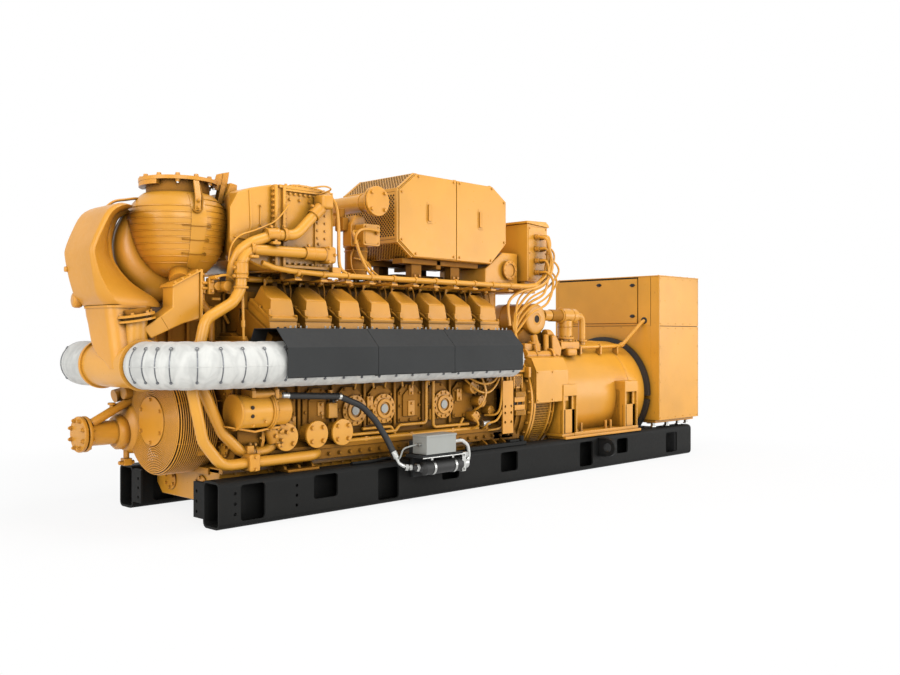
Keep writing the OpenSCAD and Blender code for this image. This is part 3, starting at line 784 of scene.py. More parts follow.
@dataclass
class HeaterHose:
    """Rubber hose from the regulator drum to the jacket heater, with crimped ends and a clip."""

    radius: float = 0.023
    length: float = 1.13
    route: tuple[Point, ...] = ((0.516, -0.6, 0.817), (0.989, -0.6, 0.792), (1.188, -0.612, 0.714),
        (1.291, -0.64, 0.607), (1.368, -0.68, 0.465), (1.411, -0.72, 0.345))

    def build(self) -> None:
        """Makes the hose first, and then what sits on it."""
        run = rounded(self.route, 0.19, 0.12)
        hose = Shape(RUBBER)
        hose.tube(run, self.radius, 24)
        cord = hose.finished("heater_hose_rubber", "rubber", ["heater_hose"])
        ends = self.fittings(run)

    def fittings(self, run: list[Vector]) -> bpy.types.Object:
        """Crimps, the bent end fitting with its nuts, and the clip that holds the hose.

        Args:
            run: Points of the hose.

        Returns:
            The piece.
        """
        shape = Shape(ZINC, RUBBER)
        start, end = run[0], run[-1]
        back = (run[1] - run[0]).normalized()
        ahead = (run[-1] - run[-2]).normalized()
        for each in ((start - back * 0.012, start + back * 0.042, self.radius + 0.003, 0.003, 24),
                (start - back * 0.04, start - back * 0.01, 0.021, 0.003, 6), (start - back * 0.075,
                start - back * 0.036, 0.015, 0.002, 16), (end - ahead * 0.04, end + ahead * 0.014,
                self.radius + 0.003, 0.003, 24)):
            shape.drum(*each)
        bend = end + ahead * 0.055
        shape.pipe([end, bend, bend + Vector((0.022, -0.02, -0.018)), (1.475, -0.772, 0.266)],
            0.014, 0.03, 16)
        shape.drum((0.978, -0.6, 0.793), (1.002, -0.6, 0.79), self.radius + 0.004, 0.002, 24)
        shape.drum((0.988, -0.585, 0.765), (0.985, -0.47, 0.735), 0.007, 0.002, 10)
        shape.use(1).block((0.965, -0.56, 0.745), (1.0, -0.52, 0.775), 0.004)
        return shape.finished("heater_hose_ends", "")


@dataclass
class JacketHeater:
    """Jacket water heater on the near rail: switch box, bracket, strapped tank and pipes."""

    y: float = -0.79

    def build(self) -> None:
        """Makes the heater."""
        shape = Shape(GREY, STOVE, ZINC, RUBBER, CLOTH)
        y = self.y
        shape.block((1.6, -0.85, 0.348), (1.905, -0.7, 0.484), 0.004)
        shape.block((1.596, -0.853, 0.474), (1.909, -0.7, 0.488), 0.002)
        # Union nuts that take the hose's end fitting.
        shape.use(2).drum((1.458, -0.767, 0.267), (1.482, -0.774, 0.264), 0.025, 0.003, 6)
        for each in (((1.49, -0.776, 0.263), (1.515, -0.779, 0.262), 0.022, 0.003, 6),
                ((1.47, -0.77, 0.266), (1.53, -0.782, 0.261), 0.014, 0.002, 14),
                ((1.6, -0.79, 0.42), (1.575, -0.79, 0.42), 0.01, 0.002, 8), ((1.6, -0.76, 0.42),
                (1.575, -0.76, 0.42), 0.01, 0.002, 8)):
            shape.drum(*each)
        shape.use(1).block((1.57, -0.845, 0.322), (1.985, -0.655, 0.345), 0.003)
        shape.block((1.62, -0.685, 0.17), (1.96, -0.652, 0.34), 0.004)
        shape.block((1.6, -0.7, 0.345), (1.93, -0.66, 0.44), 0.003)
        shape.use(2).tube([(1.56, -0.85, 0.326), (2.0, -0.85, 0.326)], 0.005, 8)
        shape.use(3).turned([(0, 0), (0, 0.03), (0.02, 0.052), (0.4, 0.052), (0.415, 0.04),
            (0.415, 0)], (1.6, y, 0.245), (1, 0, 0), 36)
        shape.turned([(0, 0), (0, 0.016), (0.05, 0.022), (0.09, 0.03), (0.09, 0)],
            (1.515, y, 0.262), (1, 0, -0.18), 20)
        shape.use(2)
        for x in (1.69, 1.91):
            shape.washer((x, y, 0.245), (1, 0, 0), 0.05, 0.056, 0.022, 36, 0.001)
            shape.block((x, y - 0.014, 0.296), (x + 0.022, y + 0.014, 0.322), 0.002)
        shape.drum((1.545, y, 0.258), (1.57, y, 0.255), 0.03, 0.003, 6)
        # Clamp block and the pale pipe that curves back to the box.
        shape.block((1.99, -0.835, 0.19), (2.03, -0.75, 0.335), 0.005)
        shape.drum((2.005, y, 0.245), (2.075, y, 0.245), 0.04, 0.005, 30)
        shape.drum((2.02, y - 0.01, 0.31), (2.07, y - 0.01, 0.31), 0.024, 0.003, 6)
        shape.bolts([(2.01, -0.835, 0.21), (2.01, -0.835, 0.315)], (0, -1, 0), 0.018)
        shape.use(4).pipe([(1.9, -0.8, 0.42), (2.02, -0.8, 0.422), (2.085, -0.8, 0.38),
            (2.098, -0.8, 0.3), (2.075, -0.8, 0.25)], 0.013, 0.06, 14)
        shape.use(2).drum((1.905, -0.8, 0.42), (1.925, -0.8, 0.42), 0.018, 0.002, 8)
        shape.drum((2.088, -0.8, 0.285), (2.078, -0.8, 0.262), 0.019, 0.002, 8)
        shape.use(0).wire([(1.575, -0.77, 0.42), (1.5, -0.77, 0.412), (1.452, -0.76, 0.395),
            (1.43, -0.75, 0.34), (1.425, -0.72, 0.31)], 0.006, 8)
        shape.finished("jacket_heater_set", "grey_enclosure", ["jacket_heater"], 45)


def dressed(node: str, name: str, finish: bpy.types.Material, slot: str,
        edge: float = 0.003) -> bpy.types.Object:
    """Copy of a CAD node with its loose triangles merged and its edges softened.

    Args:
        node: CAD node that is copied and replaced.
        name: Name of the new piece.
        finish: Its finish.
        slot: Material slot of the record; not used.
        edge: Width of the softened edges.

    Returns:
        The finished piece.
    """
    shape = Shape(finish)
    part = bmesh.new()
    part.from_mesh(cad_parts[node].data)
    bmesh.ops.remove_doubles(part, verts=part.verts[:], dist=1e-5)
    bmesh.ops.dissolve_limit(part, angle_limit=math.radians(1.0), verts=part.verts[:],
        edges=part.edges[:])
    sharp = [e for e in part.edges if len(e.link_faces) == 2 and e.calc_face_angle(
        0.0) > math.radians(50)]
    bmesh.ops.bevel(part, geom=sharp, offset=edge, affect="EDGES", segments=2, profile=0.5,
        material=-1, clamp_overlap=True)
    bmesh.ops.translate(part, vec=-SHIFT, verts=part.verts[:])
    shape.keep(part, outward=False)
    return shape.finished(name, slot, [node])


@dataclass
class Skid:
    """Two hollow rails, their cross members, the lifting lugs and what lies on the rails."""

    outer: float = 0.655
    inner: float = 0.465
    height: float = 0.3
    bar_start: float = 2.28
    bar_end: float = 2.98

    def build(self) -> None:
        """Makes the skid's pieces."""
        for side in ("left", "right"):
            dressed(f"skid_rail_{side}", f"rail_{side}", SKID, "black_paint")
        dressed("cross_members", "cross_beams", SKID, "black_paint")
        dressed("lifting_lugs", "lifting_eyes", SKID, "black_paint", 0.005)
        self.rail_fittings()

    def rail_fittings(self) -> None:
        """Weld beads, web plates behind the windows, and the flat bar that lies on each rail."""
        shape = Shape(SKID)
        top = self.height
        shape.block((self.bar_start, -self.outer + 0.02, top), (self.bar_end, -self.outer + 0.075,
            top + 0.03))
        shape.block((self.bar_start + 0.5, -self.outer + 0.03, top + 0.03), (self.bar_start + 0.62,
            -self.outer + 0.07, top + 0.05))
        shape.drum((self.bar_end - 0.04, -self.outer + 0.045, top), (self.bar_end - 0.04,
            -self.outer + 0.045, top + 0.075), 0.02)
        shape.pipe([(1.1, -self.outer + 0.05, top + 0.012), (1.3, -self.outer + 0.05, top + 0.012),
            (1.42, -self.outer + 0.06, top + 0.02), (1.5, -self.outer + 0.09, top + 0.012)], 0.012,
            0.1, 8)
        # Web plates inside the rails, behind their windows.
        shape.block((0.075, -0.535, 0.02), (5.48, -0.525, 0.28), 0.0)
        for x in (3.97, 4.02):
            for z in (0.12, 0.28):
                shape.tube([(x, -self.outer, z), (x, -self.outer - 0.09, z)], 0.006, 8)
        for z in (0.052, 0.278):
            shape.tube([(0.016, -self.inner + 0.002, z), (0.016, -self.inner + 0.11, z)], 0.006, 8)
        shape.both_sides().finished("rail_fittings", "black_paint")


@dataclass
class EngineBlock:
    """Oil pan, crankcase with covers and doors, the gear housing and the lines on its side."""

    start: float = 0.42
    end: float = 2.96
    side: float = 0.43
    pitch: float = 0.297
    first: float = 0.607
    cylinders: int = 8
    pan_top: float = 0.35

    def build(self) -> None:
        """Makes the block's pieces."""
        self.pan()
        self.crankcase()
        self.covers()
        self.gear_housing()
        self.side_lines()

    def station(self, k: float) -> float:
        """Place of a cylinder along the set."""
        return self.first + k * self.pitch

    def pan(self) -> None:
        """Oil pan with its bolted rail, drain pads and feet."""
        shape = Shape(SHEET, CASTING, SHADE_ENAMEL)
        shape.prism([(-0.33, 0.11), (0.33, 0.11), (0.4, 0.18), (0.42, self.pan_top),
            (-0.42, self.pan_top), (-0.4, 0.18)], Axis.X, 0.15, self.end, 0.01)
        shape.use(1).block((0.15, -0.45, 0.315), (self.end, 0.45, self.pan_top), 0.004)
        shape.bolt_row((0.25, -0.437, 0.314), (self.end - 0.1, -0.437, 0.314), 30, (0, 0, -1), 0.02)
        shape.bolt_row((0.25, 0.437, 0.314), (self.end - 0.1, 0.437, 0.314), 30, (0, 0, -1), 0.02)
        for y in (-0.2, 0.2):
            shape.capped_flange((0.152, y, 0.22), (-1, 0, 0), 0.07, 0.014, 6, 0.02)
        shape.block((0.135, -0.3, 0.3), (0.152, 0.3, 0.345), 0.004)
        # Drain valve at the near front corner.
        for each in (((0.16, -0.36, 0.2), (0.07, -0.36, 0.2), 0.022), ((0.07, -0.36, 0.245),
                (0.07, -0.36, 0.13), 0.028), ((0.07, -0.36, 0.13), (0.07, -0.36, 0.105), 0.038)):
            shape.drum(*each)
        shape.block((0.055, -0.45, 0.247), (0.085, -0.33, 0.257), 0.003)
        shape.drum((0.03, -0.4, 0.16), (0.12, -0.4, 0.16), 0.015)
        shape.use(2)
        for s in (-1, 1):
            for x in (0.56, 2.56):
                shape.block((x, s * 0.6, 0.3), (x + 0.26, s * 0.4, 0.318), 0.004)
                for rib in (0.0, 0.115, 0.23):
                    shape.prism([(s * 0.56, 0.316), (s * 0.41, 0.316), (s * 0.41, 0.39),
                        (s * 0.45, 0.39), (s * 0.55, 0.335)], Axis.X, x + rib, x + rib + 0.02,
                        0.003)
        shape.finished("oil_pan_and_feet", "engine_paint", ["oil_pan", "engine_feet"])

    def crankcase(self) -> None:
        """Casting of the crankcase with its deck rail and cast ribs."""
        shape = Shape(SHADE_ENAMEL)
        half = [(0.5, self.pan_top), (0.5, 0.45), (self.side, 0.49), (self.side, 0.98),
            (0.455, 1.035), (0.107, 1.236)]
        outline = half + [(-y, z) for y, z in reversed(half)]
        shape.prism(outline, Axis.X, self.start, self.end, 0.006)
        for s in (-1, 1):
            for k in range(self.cylinders + 1):
                x = self.station(k - 0.5)
                shape.prism([(s * 0.425, 0.5), (s * 0.455, 0.52), (s * 0.455, 0.93),
                    (s * 0.425, 0.97)], Axis.X, x - 0.012, x + 0.012, 0.003)
            shape.block((self.start, s * 0.462, 0.9), (self.end, s * 0.42, 0.935), 0.004)
            shape.block((self.start, s * 0.515, 0.425), (self.end, s * 0.43, 0.452), 0.004)
            shape.bolt_row((self.start + 0.08, s * 0.507, 0.385), (self.end - 0.08, s * 0.507,
                0.385), 26, (0, s, 0), 0.022)
        shape.finished("crankcase_casting", "engine_paint", ["crankcase"])

    def door(self, shape: Shape, x: float, raised: bool) -> None:
        """Crankcase door shaped like a house gable, with its bolts.

        Args:
            shape: Piece that it is added to.
            x: Middle of the door along the engine.
            raised: Whether a raised panel stands on it.
        """
        back = self.side
        outline = [(x - 0.118, 0.555), (x + 0.118, 0.555), (x + 0.118, 0.785), (x + 0.055, 0.845),
            (x - 0.055, 0.845), (x - 0.118, 0.785)]
        shape.prism(outline, Axis.Y, -back - 0.024, -back, 0.005)
        shape.bolts([(x + dx, -back - 0.024, z) for dx, z in ((-0.1, 0.575), (0.0, 0.572),
            (0.1, 0.575), (-0.1, 0.68), (0.1, 0.68), (-0.1, 0.775), (0.1, 0.775), (-0.045, 0.828),
            (0.045, 0.828))], (0, -1, 0), 0.02)
        if raised:
            shape.prism([(x - 0.075, 0.6), (x + 0.075, 0.6), (x + 0.075, 0.76), (x + 0.035, 0.8),
                (x - 0.035, 0.8), (x - 0.075, 0.76)], Axis.Y, -back - 0.036, -back - 0.022, 0.004)

    def covers(self) -> None:
        """Doors, four-bolt covers and round covers with plated centres, on both sides."""
        shape = Shape(CASTING, PLUG, SHEET, SHADE_ENAMEL)
        shape.use(3)
        for k in range(self.cylinders):
            self.door(shape, self.station(k), k % 3 == 1)
        for x in (0.572, 0.827, 1.051):
            shape.use(2).drum((x, -0.43, 0.535), (x, -0.545, 0.535), 0.068, 0.004)
            shape.drum((x, -0.545, 0.535), (x, -0.57, 0.535), 0.094, 0.007, 40)
            shape.use(0).bolt_ring((x, -0.57, 0.535), (0, -1, 0), 0.066, 4, 0.028, 45)
        for x in (1.24, 1.52, 2.15):
            shape.use(0).drum((x, -0.45, 0.672), (x, -0.475, 0.672), 0.112, 0.007, 44)
            shape.washer((x, -0.475, 0.672), (0, -1, 0), 0.05, 0.074, 0.012, 36)
            shape.bolt_ring((x, -0.475, 0.672), (0, -1, 0), 0.094, 12, 0.017, 15)
            shape.use(1).drum((x, -0.475, 0.672), (x, -0.484, 0.672), 0.034, 0.006, 28)
        shape.use(0)
        for x in (0.7, 0.95, 1.17):
            shape.block((x - 0.03, -0.455, 0.57), (x + 0.03, -0.43, 0.66), 0.006)
            shape.bolts([(x, -0.455, 0.64)], (0, -1, 0), 0.024)
        shape.use(2).block((0.98, -0.5, 0.63), (1.06, -0.43, 0.74), 0.008)
        shape.drum((1.02, -0.46, 0.74), (1.02, -0.46, 0.83), 0.018)
        shape.both_sides().finished("crankcase_doors", "engine_paint", ["crankcase_covers"])

    def gear_housing(self) -> None:
        """Front gear housing behind the damper, with its bolted edge and the damper wheel."""
        shape = Shape(SHADE_ENAMEL, CASTING, SHADE_BROWN)
        shape.prism([(-0.43, self.pan_top), (0.43, self.pan_top), (0.5, 0.52), (0.5, 0.9),
            (0.3, 1.18), (-0.3, 1.18), (-0.5, 0.9), (-0.5, 0.52)], Axis.X, 0.23, self.start, 0.012)
        shape.use(1).prism([(-0.46, self.pan_top), (0.46, self.pan_top), (0.53, 0.52), (0.53, 0.91),
            (0.32, 1.21), (-0.32, 1.21), (-0.53, 0.91), (-0.53, 0.52)], Axis.X, 0.4, 0.424, 0.004)
        for each in (((0.4, -0.516, 0.54), (0.4, -0.516, 0.9), 8, (-1, 0, 0), 0.022),
                ((0.4, 0.516, 0.54), (0.4, 0.516, 0.9), 8, (-1, 0, 0), 0.022),
                ((0.4, -0.5, 0.93), (0.4, -0.33, 1.18), 6, (-1, 0, 0), 0.022)):
            shape.bolt_row(*each)
        # The damper wheel behind the guard is drawn in the dark brown of painted shade.
        shape.use(2).drum((0.23, 0, 0.65), (0.02, 0, 0.65), 0.3, 0.01, 48)
        shape.drum((0.02, 0, 0.65), (-0.05, 0, 0.65), 0.24, 0.01, 48)
        shape.drum((-0.05, 0, 0.65), (-0.09, 0, 0.65), 0.11, 0.006)
        shape.use(1)
        for z, y in ((0.46, -0.36), (0.52, -0.44), (0.85, -0.42), (1.0, -0.3)):
            shape.capped_flange((0.232, y, z), (-1, 0, 0), 0.05, 0.02, 6, 0.018)
        shape.finished("gear_housing_casting", "engine_paint", ["gear_housing"])

    def side_lines(self) -> None:
        """Oil lines, junction blocks and harness runs along the near side of the block."""
        shape = Shape(SHEET, CASTING, ZINC)
        for each in (([(1.12, -0.49, 0.5), (1.62, -0.49, 0.5), (1.66, -0.49, 0.54),
                (1.94, -0.49, 0.54), (1.94, -0.49, 0.86), (2.02, -0.46, 0.9)], 0.012, 0.03, 10),
                ([(1.3, -0.485, 0.535), (1.58, -0.485, 0.535), (1.62, -0.485, 0.47),
                (2.3, -0.485, 0.47), (2.36, -0.485, 0.55)], 0.011, 0.03, 10),
                ([(2.02, -0.485, 0.86), (2.02, -0.485, 0.5), (2.42, -0.485, 0.5)], 0.013, 0.03, 10),
                ([(1.1, -0.5, 0.462), (2.52, -0.5, 0.462)], 0.016, 0.03, 10)):
            shape.pipe(*each)
        for x in (1.3, 1.75, 2.2, 2.6):
            shape.use(1).block((x, -0.515, 0.442), (x + 0.03, -0.43, 0.482), 0.004)
        shape.use(1)
        for x, z, size in ((1.385, 0.72, 0.05), (1.8, 0.66, 0.06), (1.8, 0.8, 0.04),
                (2.33, 0.74, 0.05), (0.93, 0.7, 0.05), (2.02, 0.6, 0.045)):
            shape.block((x - size * 0.6, -0.475, z - size), (x + size * 0.6, -0.42, z + size),
                0.008)
            shape.bolts([(x, -0.475, z + size * 0.6), (x, -0.475, z - size * 0.6)], (0, -1, 0),
                0.02)
        # Arched brackets that carry the lines below the pipe.
        for x in (1.33, 1.62, 1.9):
            shape.use(0).wire([(x - 0.09, -0.47, 0.83), (x - 0.07, -0.475, 0.9), (x, -0.48, 0.925),
                (x + 0.07, -0.475, 0.9), (x + 0.09, -0.47, 0.83)], 0.008)
        # Filter heads and valves at the alternator end.
        shape.use(1)
        for x, z, r in ((2.44, 0.8, 0.055), (2.53, 0.68, 0.05), (2.46, 0.56, 0.045),
                (2.62, 0.84, 0.04), (2.64, 0.6, 0.04), (2.36, 0.9, 0.035)):
            shape.drum((x, -0.43, z), (x, -0.54, z), r, 0.008, 24)
            shape.bolt_ring((x, -0.54, z), (0, -1, 0), r * 0.68, 4, 0.014)
        shape.use(2)
        for x, z in ((2.545, 0.9), (2.56, 0.5)):
            shape.drum((x - 0.04, -0.55, z), (x + 0.04, -0.55, z), 0.022, 0.004, 20)
            shape.drum((x - 0.05, -0.55, z), (x - 0.04, -0.55, z), 0.03, 0.003, 20)
        shape.use(0)
        for points in ([(2.36, -0.5, 0.9), (2.48, -0.57, 0.83), (2.62, -0.58, 0.84),
                (2.72, -0.56, 0.92)], [(2.37, -0.5, 0.86), (2.45, -0.57, 0.77), (2.58, -0.58, 0.76),
                (2.7, -0.57, 0.86), (2.73, -0.54, 0.98)], [(2.46, -0.5, 0.6), (2.48, -0.58, 0.66),
                (2.52, -0.59, 0.76), (2.5, -0.56, 0.88)], [(2.6, -0.5, 0.56), (2.66, -0.59, 0.58),
                (2.7, -0.6, 0.72), (2.74, -0.57, 0.98)], [(2.42, -0.5, 0.45), (2.44, -0.58, 0.5),
                (2.38, -0.56, 0.58)], [(2.56, -0.5, 0.44), (2.56, -0.58, 0.5), (2.66, -0.6, 0.54),
                (2.78, -0.59, 0.74), (2.8, -0.56, 1.0)], [(2.62, -0.5, 0.43), (2.74, -0.58, 0.47),
                (2.84, -0.58, 0.66), (2.86, -0.55, 0.95)]):
            shape.wire(points, 0.009, 8)
        shape.finished("block_lines")


@dataclass
class DamperGuard:
    """Wire cage of rings round the vibration damper, closed by a round plate at its middle."""

    face: float = -0.1
    height: float = 0.65
    radius: float = 0.355
    plate: float = 0.165
    depth: float = 0.3
    wire: float = 0.0046
    face_rings: int = 14
    side_rings: int = 16

    def build(self) -> None:
        """Makes the guard with its plate, bars and small tab."""
        shape = Shape(CASTING)
        centre = Vector((self.face, 0, self.height))
        shape.drum(centre + Vector((0.012, 0, 0)), centre + Vector((-0.012, 0, 0)), self.plate,
            0.006, 56)
        shape.bolt_ring(centre + Vector((-0.012, 0, 0)), (-1, 0, 0), self.plate * 0.86, 6, 0.022,
            30)
        step = (self.radius - 0.035 - self.plate) / self.face_rings
        for k in range(self.face_rings + 1):
            shape.hoop(centre, (1, 0, 0), self.plate + 0.008 + k * step, self.wire, 72, 6)
        for angle in (25, 60):
            a = math.radians(angle)
            shape.hoop(centre + Vector((0.03 * (1 - math.cos(a)), 0, 0)), (1, 0, 0),
                self.radius - 0.027 + 0.027 * math.sin(a), self.wire, 72, 6)
        run = (self.depth - 0.05) / self.side_rings
        for k in range(self.side_rings + 1):
            shape.hoop(centre + Vector((0.03 + k * run, 0, 0)), (1, 0, 0), self.radius, self.wire,
                72, 6)
        for k in range(8):
            a = math.tau * (k + 0.5) / 8
            way = Vector((0, math.cos(a), math.sin(a)))
            shape.pipe([centre + way * (self.plate - 0.03) + Vector((0.008, 0, 0)),
                centre + way * (self.radius - 0.008) + Vector((0.008, 0, 0)),
                centre + way * (self.radius - 0.008) + Vector((self.depth + 0.03, 0, 0))], 0.006,
                0.03, 6)
        shape.block((0.06, -0.3, 0.43), (0.15, -0.262, 0.475), 0.004)
        shape.finished("damper_guard_wires", "engine_paint", ["damper_guard"])


@dataclass
class WrappedManifolds:
    """Exhaust pipes of both banks in laced blankets, the cross pipe and the shields above."""

    radius: float = 0.148
    side: float = 0.715
    height: float = 1.03
    bend: float = 0.33
    front: float = -0.03
    end: float = 2.69
    far_stop: float = 0.18
    lace_step: float = 0.158
    # Angles of the laced rings round the bend of each pipe, in degrees from its straight part.
    near_rings: Sequence[float] = (8.1, 26.7, 46.6, 57.4, 67.8, 80.1)
    far_rings: Sequence[float] = (20.8, 33.9, 75.5)

    def build(self) -> None:
        """Makes the wraps, the cross pipe and the shields."""
        for side, name in ((-1, "left"), (1, "right")):
            self.wrap(side, name)
        self.cross_pipe()
        for side, name in ((-1, "left"), (1, "right")):
            self.shield(side, name)

    def line(self, side: int) -> list[Vector]:
        """Centre line of one wrapped pipe, in short steps from its rear end to its front end.

        Args:
            side: -1 for the near side, 1 for the far side.

        Returns:
            Points of the centre line.
        """
        turn_y = self.side - self.bend
        path = [Vector((self.end - k * 0.0216, side * self.side, self.height)) for k in range(126)]
        for k in range(1, 25):
            a = math.pi / 2 * k / 24
            path.append(Vector((self.front - self.bend * math.sin(a),
                side * (turn_y + self.bend * math.cos(a)), self.height)))
        if side > 0:
            path += [Vector((self.front - self.bend, turn_y - 0.0205 * k, self.height))
                for k in range(1, 11)]
        return path

    def wrap(self, side: int, name: str) -> None:
        """Blanket of one pipe, swollen between its laced rings, with a seam on its outer side.

        Args:
            side: -1 for the near side, 1 for the far side.
            name: Name of the side.
        """
        shape = Shape(CLOTH, LACING, CASTING)
        path = self.line(side)
        runs = [0.0]
        for a, b in zip(path, path[1:]):
            runs.append(runs[-1] + (b - a).length)
        straight = self.end - self.front
        laces = [straight - 0.09 - self.lace_step * k for k in range(17)]
        laces += [straight + self.bend * math.radians(a) for a in (self.near_rings
            if side < 0 else self.far_rings)]
        radii = []
        for run in runs:
            gap = min(abs(run - lace) for lace in laces)
            soft = min(gap / 0.045, 1.0)
            radii.append(self.radius * (0.972 + 0.028 * math.sin(soft * math.pi / 2)))
        radii[0] = radii[-1] = self.radius * 0.93
        shape.tube(path, radii, 40)
        for lace in laces:
            k = min(range(len(runs)), key=lambda i: abs(runs[i] - lace))
            k = min(max(k, 1), len(path) - 2)
            way = (path[k + 1] - path[k - 1]).normalized()
            share = (lace - runs[k]) / (runs[k + 1] - runs[k])
            centre = path[k] + (path[k + 1] - path[k]) * share
            out = way.cross(Vector((0, 0, 1))).normalized()
            self.lace(shape, centre, out * side)
        self.seam(shape, path, side)
        # Iron stubs from the heads into the wrapped pipe.
        shape.use(2)
        for k in range(8):
            x = 0.607 + k * 0.297
            shape.drum((x, side * 0.43, self.height + 0.02), (x, side * 0.655, self.height + 0.02),
                0.048, 0.004, 24)
            shape.block((x - 0.075, side * 0.43, self.height - 0.05), (x + 0.075, side * 0.455,
                self.height + 0.09), 0.005)
        shape.finished(f"exhaust_wrap_{name}", "insulation", [f"exhaust_manifold_{name}"], 60)

    def lace(self, shape: Shape, centre: Vector, out: Vector) -> None:
        """One lacing: a wire round the outer half of the pipe, with a hook and a ring at its top.

        Args:
            shape: Piece that it is added to.
            centre: Middle of the pipe there.
            out: Direction away from the engine.
        """
        up = Vector((0, 0, 1))
        reach = self.radius * 0.985
        arc = [centre + (out * math.cos(a) + up * math.sin(a)) * reach for a in (math.radians(d)
            for d in range(-42, 40, 9))]
        shape.use(1).tube(arc, 0.0036, 6)
        top = arc[-1]
        tangent = (arc[-1] - arc[-2]).normalized()
        shape.hoop(top + tangent * 0.013 + (top - centre).normalized() * 0.004,
            (top - centre).normalized(), 0.01, 0.0028, 14, 5)
        foot = arc[0]
        shape.drum(foot - (foot - centre).normalized() * 0.004, foot + (foot - centre).normalized()
            * 0.007, 0.009, 0.002, 10)
        shape.use(0)

    def seam(self, shape: Shape, path: list[Vector], side: int) -> None:
        """Lapped edge of the blanket along the outer side of the pipe.

        Args:
            shape: Piece that it is added to.
            path: Centre line of the pipe.
            side: -1 for the near side, 1 for the far side.
        """
        edge = []
        for k in range(0, len(path) - 1, 2):
            way = (path[k + 1] - path[k]).normalized()
            out = way.cross(Vector((0, 0, 1))).normalized() * (1 if side > 0 else -1)
            out = out if (out.y * side > 0 or out.x < -0.3) else -out
            edge.append(path[k] + out * (self.radius - 0.0035) + Vector((0, 0, -0.004)))
        shape.use(0).tube(edge, 0.0045, 6)

    def cross_pipe(self) -> None:
        """Cross pipe at the front, with a collar where each wrapped pipe meets it."""
        shape = Shape(SHEET)
        x = self.front - self.bend
        near = -(self.side - self.bend)
        shape.tube([(x, near - 0.005, self.height), (x, self.far_stop + 0.005, self.height)],
            self.radius - 0.002, 56)
        for y, way in ((near, 1), (self.far_stop, -1)):
            shape.washer((x, y, self.height), (0, way, 0), self.radius - 0.006, self.radius + 0.012,
                0.02, 56)
        shape.finished("cross_pipe", "engine_paint", ["exhaust_y_piece"])

    def shield(self, side: int, name: str) -> None:
        """Folded sheet over one wrapped pipe, in three lengths with lapped joints.

        Args:
            side: -1 for the near side, 1 for the far side.
            name: Name of the side.
        """
        shape = Shape(STOVE)
        outer = [(0.88, 0.943), (0.88, 1.138), (0.755, 1.262), (0.5, 1.262), (0.445, 1.15)]
        wall = 0.006
        inner = [(0.452, 1.15), (0.505, 1.262 - wall), (0.752, 1.262 - wall), (0.88 - wall, 1.135),
            (0.88 - wall, 0.943)]
        cuts = [0.355, 1.112, 1.862, 2.645]
        for a, b in zip(cuts, cuts[1:]):
            shape.prism([(side * y, z) for y, z in outer + inner], Axis.X, a + 0.0015, b - 0.0015,
                0.0016)
        for x in cuts[1:-1]:
            shape.prism([(side * (y - 0.007 if y > 0.7 else y), z - 0.006) for y,
                z in outer + inner], Axis.X, x - 0.025, x + 0.025, 0.001)
        # Hems along the lower edge, and the brackets that hold the sheet to the heads.
        shape.block((0.355, side * 0.88, 0.943), (2.645, side * 0.868, 0.949), 0.002)
        for x in (0.5, 1.0, 1.3, 1.75, 2.0, 2.5):
            shape.block((x, side * 0.46, 1.12), (x + 0.04, side * 0.452, 1.2), 0.002)
            shape.bolts([(x + 0.02, side * 0.62, 1.262), (x + 0.02, side * 0.54, 1.262)], (0, 0, 1),
                0.018)
        shape.finished(f"manifold_shield_{name}", "black_paint", [f"heat_shield_{name}"])


